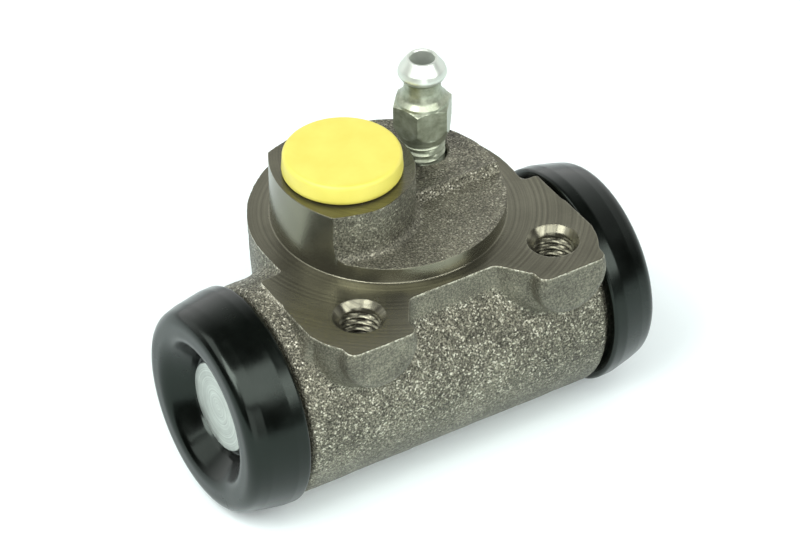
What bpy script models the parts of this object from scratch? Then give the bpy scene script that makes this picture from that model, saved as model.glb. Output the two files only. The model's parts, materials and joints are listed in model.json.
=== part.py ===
"""Drum-brake wheel cylinder: cast body with its pistons, seals, boots, bleed screw and port plug.

Frame: X runs along the bore, +Z is the outward normal of the mounting face, and the origin is the
centre of the round mounting spigot on that face. Metres.
"""
import math

import bmesh
import bpy
from mathutils import Matrix, Vector

MM = 0.001

# Fits
SEAT_GAP = 0.3 * MM          # between pieces that rest on or in each other
PISTON_FIT = 0.1 * MM        # radial running clearance of piston and cup in the bore
OVERSHOOT = 1.0 * MM         # how far a cutter runs past the face it opens
STOCK = 0.6 * MM             # casting left on before the machining cuts

# Barrel of the casting
BARREL_X = -2.0 * MM
BARREL_Y = -7.5 * MM
BARREL_Z = -14.4 * MM
BARREL_R = 14.0 * MM
BARREL_HALF = 22.0 * MM
BARREL_CORNER = 0.9 * MM
BORE_R = 10.3 * MM
BORE_CHAMFER = 0.5 * MM
BOOT_LAND_WALL = 2.0 * MM    # iron between the bore and the land that a boot sits on
BOOT_LAND_R = BORE_R + BOOT_LAND_WALL
BOOT_LAND_LENGTH = 4.0 * MM
BOOT_GROOVE_START = 1.6 * MM
BOOT_GROOVE_WIDTH = 1.2 * MM
BOOT_GROOVE_DEPTH = 0.8 * MM

# Round pad and spigot
SPIGOT_R = 15.2 * MM
PAD_LEDGE = 2.95 * MM        # flat face round the spigot, out to the pad's side
PAD_R = SPIGOT_R + PAD_LEDGE
PAD_DRAFT = 2.4              # degrees
PAD_SINK = 3.6 * MM          # how far the pad runs into the barrel past its axis
PAD_DEPTH = PAD_SINK - BARREL_Z
PAD_BEVEL_FROM = 9.5 * MM    # depth at which the sloping underside starts at the back
PAD_BEVEL_SLOPE = 38.0       # degrees
SPIGOT_HEIGHT = 2.3 * MM
STEP_HEIGHT = 0.85 * MM
STEP_Y = -2.9 * MM

# Flange plate and its two lugs
FLANGE_SHORT = 2.6 * MM      # how far the flange stops inside the barrel's left shoulder
FLANGE_OVER = 0.1 * MM       # how far it stands past the right one
FLANGE_LEFT = BARREL_X - BARREL_HALF + FLANGE_SHORT
FLANGE_RIGHT = BARREL_X + BARREL_HALF + FLANGE_OVER
FLANGE_BACK = -4.0 * MM
FLANGE_BAND = 1.75 * MM      # flat face between the spigot and the notch
FLANGE_FRONT = -(SPIGOT_R + FLANGE_BAND)
FLANGE_DEPTH = 8.0 * MM
FLANGE_CORNER = 0.8 * MM
FLANGE_EDGE = 0.3 * MM
LUG_REACH = 6.15 * MM
LUG_FRONT = FLANGE_FRONT - LUG_REACH
LEFT_LUG_ROOT = -7.3 * MM
RIGHT_LUG_ROOT = 5.4 * MM
LUG_SHOULDER = 1.35 * MM     # how far behind the flange's front a lug keeps its full width
LUG_SHOULDER_Y = FLANGE_FRONT + LUG_SHOULDER
LUG_TIP_HALF_WIDTH = 4.6 * MM
LUG_TIP_DEPTH = 7.8 * MM
LUG_ROOT_DEPTH = 10.0 * MM
LUG_ROUND_SHARE = 0.7        # most of a section's depth that its round bottom takes
LUG_TAPER_POWER = 1.2
LUG_STATIONS = (0.2, 0.4, 0.6, 0.8, 1.0)
LEFT_LUG_X = -14.6 * MM
RIGHT_LUG_X = 13.6 * MM
LUG_BOSS_R = 5.2 * MM
LUG_BOSS_DROP = 1.9 * MM     # its centre below the mounting face
LUG_BOSS_PROUD = 1.5 * MM
LUG_BOSS_EDGE = 0.8 * MM
HOLE_SPACING = 28.8 * MM
HOLE_BACK = 0.35 * MM        # hole centres behind the flange's front
HOLE_Y = FLANGE_FRONT + HOLE_BACK
HOLE_R = 2.5 * MM
HOLE_DEPTH = 7.0 * MM
HOLE_SINK_R = 3.4 * MM
HOLE_SINK_DEPTH = 1.1 * MM

# Port boss, its port and the plug
PORT_X = -6.7 * MM
PORT_Y = 0.0 * MM
BOSS_HEIGHT = 9.1 * MM
BOSS_HALF_DEPTH = 9.8 * MM
BOSS_HALF_WIDTH = 9.4 * MM
BOSS_DIAGONAL = 9.2 * MM
BOSS_SHOULDER = 10.2 * MM
BOSS_CORNER = 2.6 * MM
PORT_R = 4.5 * MM
PORT_DEPTH = 9.0 * MM
PORT_SEAT_DEPTH = 1.6 * MM
PORT_CHAMFER = 0.6 * MM
PASSAGE_R = 1.2 * MM
PASSAGE_END_Z = -9.2 * MM
PLUG_HEAD_R = 7.85 * MM
PLUG_HEAD_HEIGHT = 2.5 * MM
PLUG_HEAD_ROUND = 0.8 * MM
PLUG_STEM_LENGTH = 6.6 * MM
PLUG_STEM_DRAFT = 0.25 * MM
PLUG_WALL = 1.0 * MM

# Bleed screw
BLEED_X = 8.25 * MM
BLEED_Y = 4.9 * MM
BLEED_SHANK_R = 2.9 * MM
BLEED_TIP_Z = -8.0 * MM
BLEED_TIP_R = 0.6 * MM
BLEED_SEAT_LENGTH = 2.3 * MM
BLEED_COLLAR_Z = 6.3 * MM
BLEED_HEX_FLATS = 7.0 * MM
BLEED_HEX_BOTTOM_Z = 8.05 * MM
BLEED_HEX_TOP_Z = 11.25 * MM
BLEED_HEX_TURN = 18.3        # degrees
BLEED_HEX_STOCK = 0.05 * MM  # how far the turned blank stands past the hexagon's corners
BLEED_HEX_SLOPE = 0.25 * MM  # fall of the hexagon's top from its flats to its corners
BLEED_NECK_Z = 14.3 * MM
BLEED_NECK_LENGTH = 0.9 * MM
BLEED_NECK_R = 2.36 * MM
BLEED_BALL_Z = 15.8 * MM
BLEED_BALL_R = 3.2 * MM
BLEED_LIP_R = 2.35 * MM
BLEED_TOP_Z = 17.5 * MM
BLEED_MOUTH_R = 1.65 * MM
BLEED_MOUTH_DEPTH = 3.0 * MM
BLEED_BORE_R = 0.9 * MM
BLEED_CROSS_R = 0.6 * MM
BLEED_CROSS_Z = -4.1 * MM
BLEED_SINK_R = 3.6 * MM
BLEED_SINK_DEPTH = 0.5 * MM
BLEED_PASSAGE_R = 1.0 * MM
BLEED_PASSAGE_END = (2.6 * MM, -1.3 * MM, -10.3 * MM)

# Ends of the barrel and crests of the boots; distances run outwards from the barrel's middle
BARREL_END = BARREL_HALF + BOOT_LAND_LENGTH
BOOT_REACH = 4.0 * MM        # how far a boot's crest stands past the barrel's end
BOOT_CREST = BARREL_END + BOOT_REACH

# Pistons and what they push; distances run outwards from the middle of the barrel
PISTON_RECESS = 2.05 * MM    # how far a piston's face lies inside its boot's crest
PISTON_FACE = BOOT_CREST - PISTON_RECESS
PISTON_NOSE_LENGTH = 0.75 * MM
PISTON_NOSE_START = PISTON_FACE - PISTON_NOSE_LENGTH
PISTON_NOSE_R = 6.0 * MM
PISTON_GROOVE_WIDTH = 1.8 * MM
PISTON_GROOVE_START = PISTON_NOSE_START - PISTON_GROOVE_WIDTH
PISTON_GROOVE_R = 5.2 * MM
PISTON_NECK_R = 7.0 * MM
PISTON_SET_BACK = 4.5 * MM   # how far a piston's guided part lies inside the barrel's end
PISTON_LENGTH = 9.0 * MM
PISTON_INNER = BARREL_END - PISTON_SET_BACK - PISTON_LENGTH
PISTON_CHAMFER = 0.4 * MM
PISTON_EDGE = 0.15 * MM
CUP_BASE = 2.2 * MM
CUP_HEIGHT = 4.5 * MM
CUP_LIP = 0.6 * MM
CUP_WELL_R = 7.7 * MM
EXPANDER_THICKNESS = 0.6 * MM
EXPANDER_PILOT_R = 4.1 * MM
EXPANDER_PILOT_HEIGHT = 1.2 * MM
EXPANDER_RIM_R = 8.4 * MM
EXPANDER_RIM_HEIGHT = 2.0 * MM
EXPANDER_FLAT_R = 6.8 * MM
SPRING_R = 5.1 * MM
SPRING_WIRE_R = 0.45 * MM
SPRING_TURNS = 6.5
SPRING_POINTS_PER_TURN = 10

# Dust boots; distances run outwards from the middle of the barrel
BOOT_RIM_GAP = 0.7 * MM
BOOT_RIM_WALL = 2.0 * MM
BOOT_RIM_R = BOOT_LAND_R + SEAT_GAP + BOOT_RIM_WALL
BOOT_RIM_ROUND = 0.5 * MM
BOOT_CREST_R = 11.5 * MM
BOOT_CORNER = 2.1 * MM
BOOT_CROWN_WALL = 1.6 * MM
BOOT_LIP_R = 6.5 * MM
BOOT_FUNNEL_STEPS = (0.25, 0.55, 0.85)
BOOT_FUNNEL_RISE = 1.1
BOOT_FUNNEL_FLARE = 1.25
BOOT_INSIDE_STEPS = (0.4, 0.8)
BOOT_INSIDE_CURVE = 0.8

SEGMENTS = 60
RING_SEGMENTS = 40
SMALL_SEGMENTS = 28
LUG_ROUND_POINTS = 9


def collection(name):
    """Make a collection in the scene."""
    group = bpy.data.collections.new(name)
    bpy.context.scene.collection.children.link(group)
    return group


def material(name, colour, roughness, metallic):
    """Make a plain Principled material."""
    mat = bpy.data.materials.new(name)
    mat.use_nodes = True
    shader = mat.node_tree.nodes["Principled BSDF"]
    shader.inputs["Base Color"].default_value = (*colour, 1.0)
    shader.inputs["Roughness"].default_value = roughness
    shader.inputs["Metallic"].default_value = metallic
    mat.diffuse_color = (*colour, 1.0)
    return mat


def arc(centre, radius, start, end, steps):
    """Points on an arc in a profile plane, angles in degrees, both ends included."""
    points = []
    for i in range(steps + 1):
        a = math.radians(start + (end - start) * i / steps)
        points.append((centre[0] + radius * math.cos(a), centre[1] + radius * math.sin(a)))
    return points


def turned(name, profile, closed=False, segments=SEGMENTS):
    """Revolve a profile of (axial, radius) points, listed down the outer side, about local Z."""
    mesh = bpy.data.meshes.new(name)
    verts = [(radius, 0.0, axial) for axial, radius in profile]
    edges = [(i, i + 1) for i in range(len(verts) - 1)]
    if closed:
        edges.append((len(verts) - 1, 0))
    mesh.from_pydata(verts, edges, [])
    obj = bpy.data.objects.new(name, mesh)
    screw = obj.modifiers.new("Turn", "SCREW")
    screw.steps = segments
    screw.render_steps = segments
    screw.use_merge_vertices = True
    screw.merge_threshold = 0.000005
    screw.use_smooth_shade = True
    return obj


def extruded(name, outline, bottom, top):
    """Extrude a plan outline of (x, y) points, listed anticlockwise, between two heights."""
    bm = bmesh.new()
    ring = [bm.verts.new((x, y, bottom)) for x, y in outline]
    face = bm.faces.new(ring)
    lifted = bmesh.ops.extrude_face_region(bm, geom=[face])["geom"]
    verts = [item for item in lifted if isinstance(item, bmesh.types.BMVert)]
    bmesh.ops.translate(bm, verts=verts, vec=(0.0, 0.0, top - bottom))
    bmesh.ops.recalc_face_normals(bm, faces=bm.faces)
    return mesh_object(name, bm)


def mesh_object(name, bm):
    """Turn a bmesh into an object and free it."""
    mesh = bpy.data.meshes.new(name)
    bm.to_mesh(mesh)
    bm.free()
    return bpy.data.objects.new(name, mesh)


def block(name, low, high):
    """A box between two corners."""
    bm = bmesh.new()
    bmesh.ops.create_cube(bm, size=1.0)
    size = [b - a for a, b in zip(low, high)]
    middle = [(a + b) / 2 for a, b in zip(low, high)]
    bmesh.ops.scale(bm, verts=bm.verts, vec=size)
    bmesh.ops.translate(bm, verts=bm.verts, vec=middle)
    return mesh_object(name, bm)


def rod(name, start, end, radius, segments=SMALL_SEGMENTS):
    """A straight round rod between two points."""
    start, end = Vector(start), Vector(end)
    bm = bmesh.new()
    bmesh.ops.create_cone(bm, cap_ends=True, segments=segments, radius1=radius, radius2=radius,
                          depth=(end - start).length)
    turn = Vector((0.0, 0.0, 1.0)).rotation_difference(end - start).to_matrix().to_4x4()
    bmesh.ops.transform(bm, verts=bm.verts, matrix=Matrix.Translation((start + end) / 2) @ turn)
    return mesh_object(name, bm)


def rounded(corners, steps=5):
    """Round the corners of a polygon: each corner is (x, y, radius); anticlockwise."""
    outline = []
    for i, (x, y, radius) in enumerate(corners):
        here = Vector((x, y))
        back = (Vector(corners[i - 1][:2]) - here).normalized()
        ahead = (Vector(corners[(i + 1) % len(corners)][:2]) - here).normalized()
        half = back.angle(ahead) / 2
        centre = here + (back + ahead).normalized() * (radius / math.sin(half))
        first = here + back * (radius / math.tan(half)) - centre
        sweep = first.angle_signed(here + ahead * (radius / math.tan(half)) - centre)
        for k in range(steps + 1):
            point = centre + Matrix.Rotation(-sweep * k / steps, 2) @ first
            outline.append((point.x, point.y))
    return outline


def facet_corners(centre, facets, radius):
    """Corners of the polygon whose sides have the given (normal angle, distance) from a centre."""
    corners = []
    for i, (angle, distance) in enumerate(facets):
        next_angle, next_distance = facets[(i + 1) % len(facets)]
        a, b = math.radians(angle), math.radians(next_angle)
        lines = Matrix(((math.cos(a), math.sin(a)), (math.cos(b), math.sin(b))))
        point = lines.inverted() @ Vector((distance, next_distance))
        corners.append((centre[0] + point.x, centre[1] + point.y, radius))
    return corners


class Bench:
    """Holds the two collections and joins or cuts solids."""

    def __init__(self):
        self.parts = collection("wheel_cylinder")
        self.cutters = collection("cutters")

    def part(self, obj, mat, location=(0.0, 0.0, 0.0), rotation=(0.0, 0.0, 0.0)):
        """Put a finished object in the model, with its material and its place."""
        self.parts.objects.link(obj)
        obj.data.materials.append(mat)
        obj.location = location
        obj.rotation_euler = rotation
        return obj

    def tool(self, obj, location=(0.0, 0.0, 0.0), rotation=(0.0, 0.0, 0.0)):
        """Put a helper solid in the cutters' collection."""
        self.cutters.objects.link(obj)
        obj.location = location
        obj.rotation_euler = rotation
        obj.hide_render = True
        obj.display_type = "WIRE"
        return obj

    def combine(self, obj, helper, operation):
        """Add a Boolean of obj with a helper solid."""
        step = obj.modifiers.new(f"{operation.title()} {helper.name}", "BOOLEAN")
        step.operation = operation
        step.solver = "EXACT"
        step.object = helper
        return obj

    def add(self, obj, helper, **place):
        """Join a helper solid to obj."""
        return self.combine(obj, self.tool(helper, **place), "UNION")

    def cut(self, obj, helper, **place):
        """Take a helper solid away from obj."""
        return self.combine(obj, self.tool(helper, **place), "DIFFERENCE")

    def keep(self, obj, helper, **place):
        """Keep only what obj shares with a helper solid."""
        return self.combine(obj, self.tool(helper, **place), "INTERSECT")


ALONG_X = (0.0, math.pi / 2, 0.0)
AGAINST_X = (0.0, -math.pi / 2, 0.0)
BARREL_CENTRE = (BARREL_X, BARREL_Y, BARREL_Z)


def barrel_profile():
    """The barrel with a turned land and groove for the boot at each end."""
    corner = BARREL_CORNER
    groove = BARREL_HALF + BOOT_GROOVE_START
    half = [(BARREL_END, BOOT_LAND_R - SEAT_GAP),
            (BARREL_END - SEAT_GAP, BOOT_LAND_R),
            (groove + BOOT_GROOVE_WIDTH, BOOT_LAND_R),
            (groove + BOOT_GROOVE_WIDTH, BOOT_LAND_R - BOOT_GROOVE_DEPTH),
            (groove, BOOT_LAND_R - BOOT_GROOVE_DEPTH),
            (groove, BOOT_LAND_R),
            (BARREL_HALF, BOOT_LAND_R)]
    half += arc((BARREL_HALF - corner, BARREL_R - corner), corner, 0.0, 90.0, 3)
    other = [(-axial, radius) for axial, radius in reversed(half)]
    return [(BARREL_END, 0.0)] + half + other + [(-BARREL_END, 0.0)]


def bore_profile():
    """The through bore with a chamfer at each mouth, as a cutter."""
    mouth = BARREL_END + OVERSHOOT
    wide = BORE_R + BORE_CHAMFER + OVERSHOOT
    half = [(mouth, 0.0), (mouth, wide), (BARREL_END - BORE_CHAMFER, BORE_R)]
    return half + [(-axial, radius) for axial, radius in reversed(half)]


def pad_solid(bench):
    """The round column under the spigot, with draft and a sloping underside at the back."""
    foot = PAD_R - (PAD_DEPTH + STOCK) * math.tan(math.radians(PAD_DRAFT))
    top = PAD_R + STOCK * math.tan(math.radians(PAD_DRAFT))
    pad = turned("pad", [(STOCK, 0.0), (STOCK, top), (-PAD_DEPTH, foot), (-PAD_DEPTH, 0.0)])
    front = block("pad_front_tool", (-2 * PAD_R, -2 * PAD_R, -2 * PAD_DEPTH),
                  (2 * PAD_R, FLANGE_FRONT + OVERSHOOT, PAD_DEPTH))
    bench.cut(pad, front)
    slope = block("pad_slope_tool", (-2 * PAD_R, -3 * PAD_R, -2 * PAD_DEPTH),
                  (2 * PAD_R, PAD_R, 0.0))
    bench.cut(pad, slope, location=(0.0, PAD_R, -PAD_BEVEL_FROM),
              rotation=(math.radians(PAD_BEVEL_SLOPE), 0.0, 0.0))
    return pad


def flange_solid():
    """The flange plate behind the lugs, down into the barrel."""
    corner = FLANGE_CORNER
    corners = [(FLANGE_LEFT, FLANGE_FRONT, FLANGE_EDGE), (FLANGE_RIGHT, FLANGE_FRONT, FLANGE_EDGE),
               (FLANGE_RIGHT, FLANGE_BACK, corner), (FLANGE_LEFT, FLANGE_BACK, corner)]
    return extruded("flange", rounded(corners), -FLANGE_DEPTH, STOCK)


def lug_section(outer, inner, depth):
    """A U outline in X and Z between two sides: flat top, straight sides and a round bottom."""
    middle = (outer + inner) / 2
    half = abs(outer - inner) / 2
    round_depth = min(half, LUG_ROUND_SHARE * depth)
    section = [(middle - half, STOCK)]
    for i in range(LUG_ROUND_POINTS):
        a = math.pi * i / (LUG_ROUND_POINTS - 1)
        section.append((middle - half * math.cos(a), round_depth - depth - round_depth * math.sin(a)))
    section.append((middle + half, STOCK))
    return section


def lug_solid(name, centre, edge, root):
    """Loft a lug forwards from the flange's side edge and its root at the notch to a narrow tip."""
    tip_y = LUG_FRONT + LUG_BOSS_PROUD
    side = 1.0 if edge > centre else -1.0
    outer_tip = centre + side * LUG_TIP_HALF_WIDTH
    inner_tip = centre - side * LUG_TIP_HALF_WIDTH
    places = [(0.0, (LUG_SHOULDER_Y + FLANGE_BACK) / 2), (0.0, LUG_SHOULDER_Y)]
    for step in LUG_STATIONS:
        reach = (tip_y - FLANGE_FRONT) * step ** LUG_TAPER_POWER
        places.append((step, FLANGE_FRONT + reach))
    bm = bmesh.new()
    rings = []
    for share, y in places:
        outer = edge + (outer_tip - edge) * share
        inner = root + (inner_tip - root) * share
        depth = LUG_ROOT_DEPTH + (LUG_TIP_DEPTH - LUG_ROOT_DEPTH) * share
        rings.append([bm.verts.new((x, y, z)) for x, z in lug_section(outer, inner, depth)])
    for near, far in zip(rings, rings[1:]):
        for i in range(len(near)):
            k = (i + 1) % len(near)
            bm.faces.new((near[i], near[k], far[k], far[i]))
    bm.faces.new(rings[0])
    bm.faces.new(rings[-1])
    bmesh.ops.recalc_face_normals(bm, faces=bm.faces)
    return mesh_object(name, bm)


def lug_boss_profile():
    """The round boss on the front of a lug, with its rounded front edge."""
    edge = LUG_BOSS_EDGE
    front = arc((-LUG_FRONT - edge, LUG_BOSS_R - edge), edge, 0.0, 90.0, 3)
    back = -(LUG_SHOULDER_Y + FLANGE_FRONT) / 2
    return [(-LUG_FRONT, 0.0)] + front + [(back, LUG_BOSS_R), (back, 0.0)]


def boss_solid():
    """The port boss: flats with round corners in plan; its outer side is turned later."""
    facets = [(-120.0, BOSS_SHOULDER), (-90.0, BOSS_HALF_DEPTH), (-52.0, BOSS_DIAGONAL),
              (-6.0, BOSS_HALF_WIDTH), (46.0, BOSS_DIAGONAL), (90.0, BOSS_HALF_DEPTH),
              (120.0, BOSS_SHOULDER), (180.0, SPIGOT_R + STOCK + PORT_X)]
    corners = facet_corners((PORT_X, PORT_Y), facets, BOSS_CORNER)
    return extruded("boss", rounded(corners, steps=3), -2 * STOCK, BOSS_HEIGHT)


def spigot_solid(bench):
    """The rough spigot: its front half is lower by one cast step."""
    top = SPIGOT_HEIGHT + STEP_HEIGHT
    rough = SPIGOT_R + STOCK
    spigot = turned("spigot", [(top, 0.0), (top, rough), (-STOCK, rough), (-STOCK, 0.0)])
    low = block("step_tool", (-2 * rough, -2 * rough, SPIGOT_HEIGHT), (2 * rough, STEP_Y, 2 * top))
    return bench.cut(spigot, low)


def facing_profile():
    """The lathe cut that faces the mounting face and turns the spigot and the boss."""
    reach = 3 * SPIGOT_R
    top = BOSS_HEIGHT + OVERSHOOT
    return [(top, SPIGOT_R), (top, reach), (0.0, reach), (0.0, SPIGOT_R)]


def port_profile():
    """The port: thread bore, flare seat and the passage that opens in the bore of the barrel."""
    top = BOSS_HEIGHT
    bottom = top - PORT_DEPTH
    wide = PORT_R + PORT_CHAMFER
    return [(top + OVERSHOOT, 0.0), (top + OVERSHOOT, wide), (top, wide),
            (top - PORT_CHAMFER, PORT_R), (bottom, PORT_R), (bottom - PORT_SEAT_DEPTH, PASSAGE_R),
            (PASSAGE_END_Z, PASSAGE_R), (PASSAGE_END_Z, 0.0)]


def hole_profile():
    """A blind tapped hole with its countersink and drill point."""
    tip = HOLE_R * math.tan(math.radians(30.0))
    return [(OVERSHOOT, 0.0), (OVERSHOOT, HOLE_SINK_R), (0.0, HOLE_SINK_R),
            (-HOLE_SINK_DEPTH, HOLE_R), (-HOLE_DEPTH, HOLE_R), (-HOLE_DEPTH - tip, 0.0)]


def bleed_hole_profile():
    """The bleed screw's hole: countersink, thread bore and cone seat."""
    top = SPIGOT_HEIGHT + STEP_HEIGHT
    wide = BLEED_SHANK_R + SEAT_GAP
    shank_end = BLEED_TIP_Z + BLEED_SEAT_LENGTH
    return [(top + OVERSHOOT, 0.0), (top + OVERSHOOT, BLEED_SINK_R), (top, BLEED_SINK_R),
            (top - BLEED_SINK_DEPTH, wide), (shank_end, wide),
            (BLEED_TIP_Z, BLEED_TIP_R + SEAT_GAP), (BLEED_TIP_Z - SEAT_GAP, BLEED_TIP_R + SEAT_GAP),
            (BLEED_TIP_Z - SEAT_GAP, 0.0)]


def cylinder_body(bench, mat):
    """The cast iron body: cast forms joined first, then the machining cuts."""
    body = turned("cylinder_body", barrel_profile())
    bench.part(body, mat, BARREL_CENTRE, ALONG_X)
    bench.add(body, pad_solid(bench))
    bench.add(body, flange_solid())
    lugs = (("left_lug", LEFT_LUG_X, FLANGE_LEFT, LEFT_LUG_ROOT),
            ("right_lug", RIGHT_LUG_X, FLANGE_RIGHT, RIGHT_LUG_ROOT))
    for name, centre, edge, root in lugs:
        bench.add(body, lug_solid(name, centre, edge, root))
        bench.add(body, turned(f"{name}_boss", lug_boss_profile(), segments=36),
                  location=(centre, 0.0, -LUG_BOSS_DROP), rotation=(math.pi / 2, 0.0, 0.0))
    bench.add(body, spigot_solid(bench))
    bench.add(body, boss_solid())
    bench.cut(body, turned("facing_tool", facing_profile(), closed=True, segments=96))
    bench.cut(body, turned("bore_tool", bore_profile()), location=BARREL_CENTRE, rotation=ALONG_X)
    bench.cut(body, turned("port_tool", port_profile(), segments=SMALL_SEGMENTS),
              location=(PORT_X, PORT_Y, 0.0))
    bench.cut(body, turned("bleed_tool", bleed_hole_profile(), segments=SMALL_SEGMENTS),
              location=(BLEED_X, BLEED_Y, 0.0))
    passage = rod("bleed_passage_tool", (BLEED_X, BLEED_Y, BLEED_TIP_Z), BLEED_PASSAGE_END,
                  BLEED_PASSAGE_R, segments=16)
    bench.cut(body, passage)
    for side in (-1, 1):
        hole = turned(f"hole_tool_{side + 2}", hole_profile(), segments=SMALL_SEGMENTS)
        bench.cut(body, hole, location=(side * HOLE_SPACING / 2, HOLE_Y, 0.0))
    return body


def piston_profile():
    """A piston, from its nose down to its inner face."""
    bore_part = BORE_R - PISTON_FIT
    shoulder = PISTON_INNER + PISTON_LENGTH
    edge, chamfer = PISTON_EDGE, PISTON_CHAMFER
    return [(PISTON_FACE, 0.0), (PISTON_FACE, PISTON_NOSE_R - edge),
            (PISTON_FACE - edge, PISTON_NOSE_R), (PISTON_NOSE_START, PISTON_NOSE_R),
            (PISTON_NOSE_START, PISTON_GROOVE_R), (PISTON_GROOVE_START, PISTON_GROOVE_R),
            (PISTON_GROOVE_START, PISTON_NECK_R), (shoulder, PISTON_NECK_R),
            (shoulder, bore_part - chamfer), (shoulder - chamfer, bore_part),
            (PISTON_INNER + chamfer, bore_part), (PISTON_INNER, bore_part - chamfer),
            (PISTON_INNER, 0.0)]


CUP_BACK = PISTON_INNER - SEAT_GAP
CUP_FLOOR = CUP_BACK - CUP_BASE
CUP_FRONT = CUP_BACK - CUP_HEIGHT


def cup_profile():
    """A rubber cup seal: flat back on the piston, lip towards the middle of the barrel."""
    outer = BORE_R - PISTON_FIT
    lip = outer - CUP_LIP
    return [(CUP_BACK, 0.0), (CUP_BACK, outer - 2 * SEAT_GAP), (CUP_BACK - SEAT_GAP, outer - SEAT_GAP),
            (CUP_FRONT + SEAT_GAP, outer), (CUP_FRONT, outer - SEAT_GAP), (CUP_FRONT, lip),
            (CUP_FLOOR - SEAT_GAP, CUP_WELL_R + SEAT_GAP), (CUP_FLOOR, CUP_WELL_R),
            (CUP_FLOOR, 0.0)]


EXPANDER_BACK = CUP_FLOOR - SEAT_GAP
SPRING_SEAT = EXPANDER_BACK - EXPANDER_THICKNESS


def expander_profile():
    """A pressed washer that spreads the cup's lip and centres the spring."""
    wall = EXPANDER_THICKNESS
    pilot = SPRING_SEAT - EXPANDER_PILOT_HEIGHT
    rim = EXPANDER_BACK - EXPANDER_RIM_HEIGHT
    return [(EXPANDER_BACK, EXPANDER_PILOT_R - wall), (EXPANDER_BACK, EXPANDER_FLAT_R),
            (rim + wall, EXPANDER_RIM_R), (rim, EXPANDER_RIM_R - wall / 2),
            (SPRING_SEAT, EXPANDER_FLAT_R - wall / 2), (SPRING_SEAT, EXPANDER_PILOT_R),
            (pilot, EXPANDER_PILOT_R), (pilot, EXPANDER_PILOT_R - wall)]


def boot_profile():
    """A dust boot: skirt over the barrel's end, rolled crown, funnel and lip in the piston's groove."""
    rim = BARREL_HALF + BOOT_RIM_GAP
    groove = BARREL_HALF + BOOT_GROOVE_START
    inner = BOOT_LAND_R + SEAT_GAP
    bead_r = BOOT_LAND_R - BOOT_GROOVE_DEPTH + SEAT_GAP
    crown_centre = (BOOT_CREST - BOOT_CORNER, BOOT_CREST_R)
    lip_front = PISTON_NOSE_START - SEAT_GAP
    lip_back = PISTON_GROOVE_START + SEAT_GAP
    lip_hole = PISTON_GROOVE_R + SEAT_GAP
    wall = BOOT_CROWN_WALL
    outer = arc(crown_centre, BOOT_CORNER, 0.0, 80.0, 5)
    outer += arc((rim + BOOT_RIM_ROUND, BOOT_RIM_R - BOOT_RIM_ROUND), BOOT_RIM_ROUND, 90.0, 180.0, 2)
    skirt = [(rim, inner), (groove + SEAT_GAP, inner), (groove + SEAT_GAP, bead_r),
             (groove + BOOT_GROOVE_WIDTH - SEAT_GAP, bead_r),
             (groove + BOOT_GROOVE_WIDTH - SEAT_GAP, inner), (BARREL_END + SEAT_GAP, inner)]
    inside = [(BOOT_CREST - BOOT_CORNER, BOOT_CREST_R + BOOT_CORNER - wall),
              (BOOT_CREST - wall, BOOT_CREST_R)]
    crest_to_lip = BOOT_CREST - wall - lip_back
    inner_drop = BOOT_CREST_R - PISTON_NECK_R - SEAT_GAP
    for share in BOOT_INSIDE_STEPS:
        drop = BOOT_CREST - wall - crest_to_lip * share
        inside.append((drop, BOOT_CREST_R - inner_drop * share ** BOOT_INSIDE_CURVE))
    lip = [(lip_back, BOOT_LIP_R), (lip_back, lip_hole), (lip_front, lip_hole),
           (lip_front, BOOT_LIP_R)]
    funnel = []
    for share in BOOT_FUNNEL_STEPS:
        rise = lip_front + (BOOT_CREST - lip_front) * share ** BOOT_FUNNEL_RISE
        flare = 1 - (1 - share) ** BOOT_FUNNEL_FLARE
        funnel.append((rise, BOOT_LIP_R + (BOOT_CREST_R - BOOT_LIP_R) * flare))
    return outer + skirt + inside + lip + funnel


def spring_coil():
    """The return spring: a round wire wound along X between the two expanders."""
    reach = SPRING_SEAT - SEAT_GAP - SPRING_WIRE_R
    count = round(SPRING_TURNS * SPRING_POINTS_PER_TURN)
    curve = bpy.data.curves.new("return_spring", "CURVE")
    curve.dimensions = "3D"
    curve.bevel_depth = SPRING_WIRE_R
    curve.bevel_resolution = 2
    curve.use_fill_caps = True
    spline = curve.splines.new("POLY")
    spline.points.add(count)
    for i, point in enumerate(spline.points):
        a = 2 * math.pi * i / SPRING_POINTS_PER_TURN
        along = -reach + 2 * reach * i / count
        point.co = (along, SPRING_R * math.cos(a), SPRING_R * math.sin(a), 1.0)
    return bpy.data.objects.new("return_spring", curve)


def plug_profile():
    """The transit plug: a thick round head and a hollow stem in the port, open below."""
    seat = BOSS_HEIGHT + SEAT_GAP
    top = seat + PLUG_HEAD_HEIGHT
    stem = PORT_R - SEAT_GAP
    end = seat - PLUG_STEM_LENGTH
    tip = stem - PLUG_STEM_DRAFT
    head = arc((top - PLUG_HEAD_ROUND, PLUG_HEAD_R - PLUG_HEAD_ROUND), PLUG_HEAD_ROUND, 0.0, 90.0, 5)
    return ([(top, 0.0)] + head
            + [(seat, PLUG_HEAD_R), (seat, stem), (end + SEAT_GAP, tip), (end, tip - SEAT_GAP),
               (end, tip - PLUG_WALL), (seat, stem - PLUG_WALL), (seat, 0.0)])


HEX_CORNER_R = BLEED_HEX_FLATS / math.sqrt(3.0)
HEX_BLANK_R = HEX_CORNER_R + BLEED_HEX_STOCK


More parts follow.
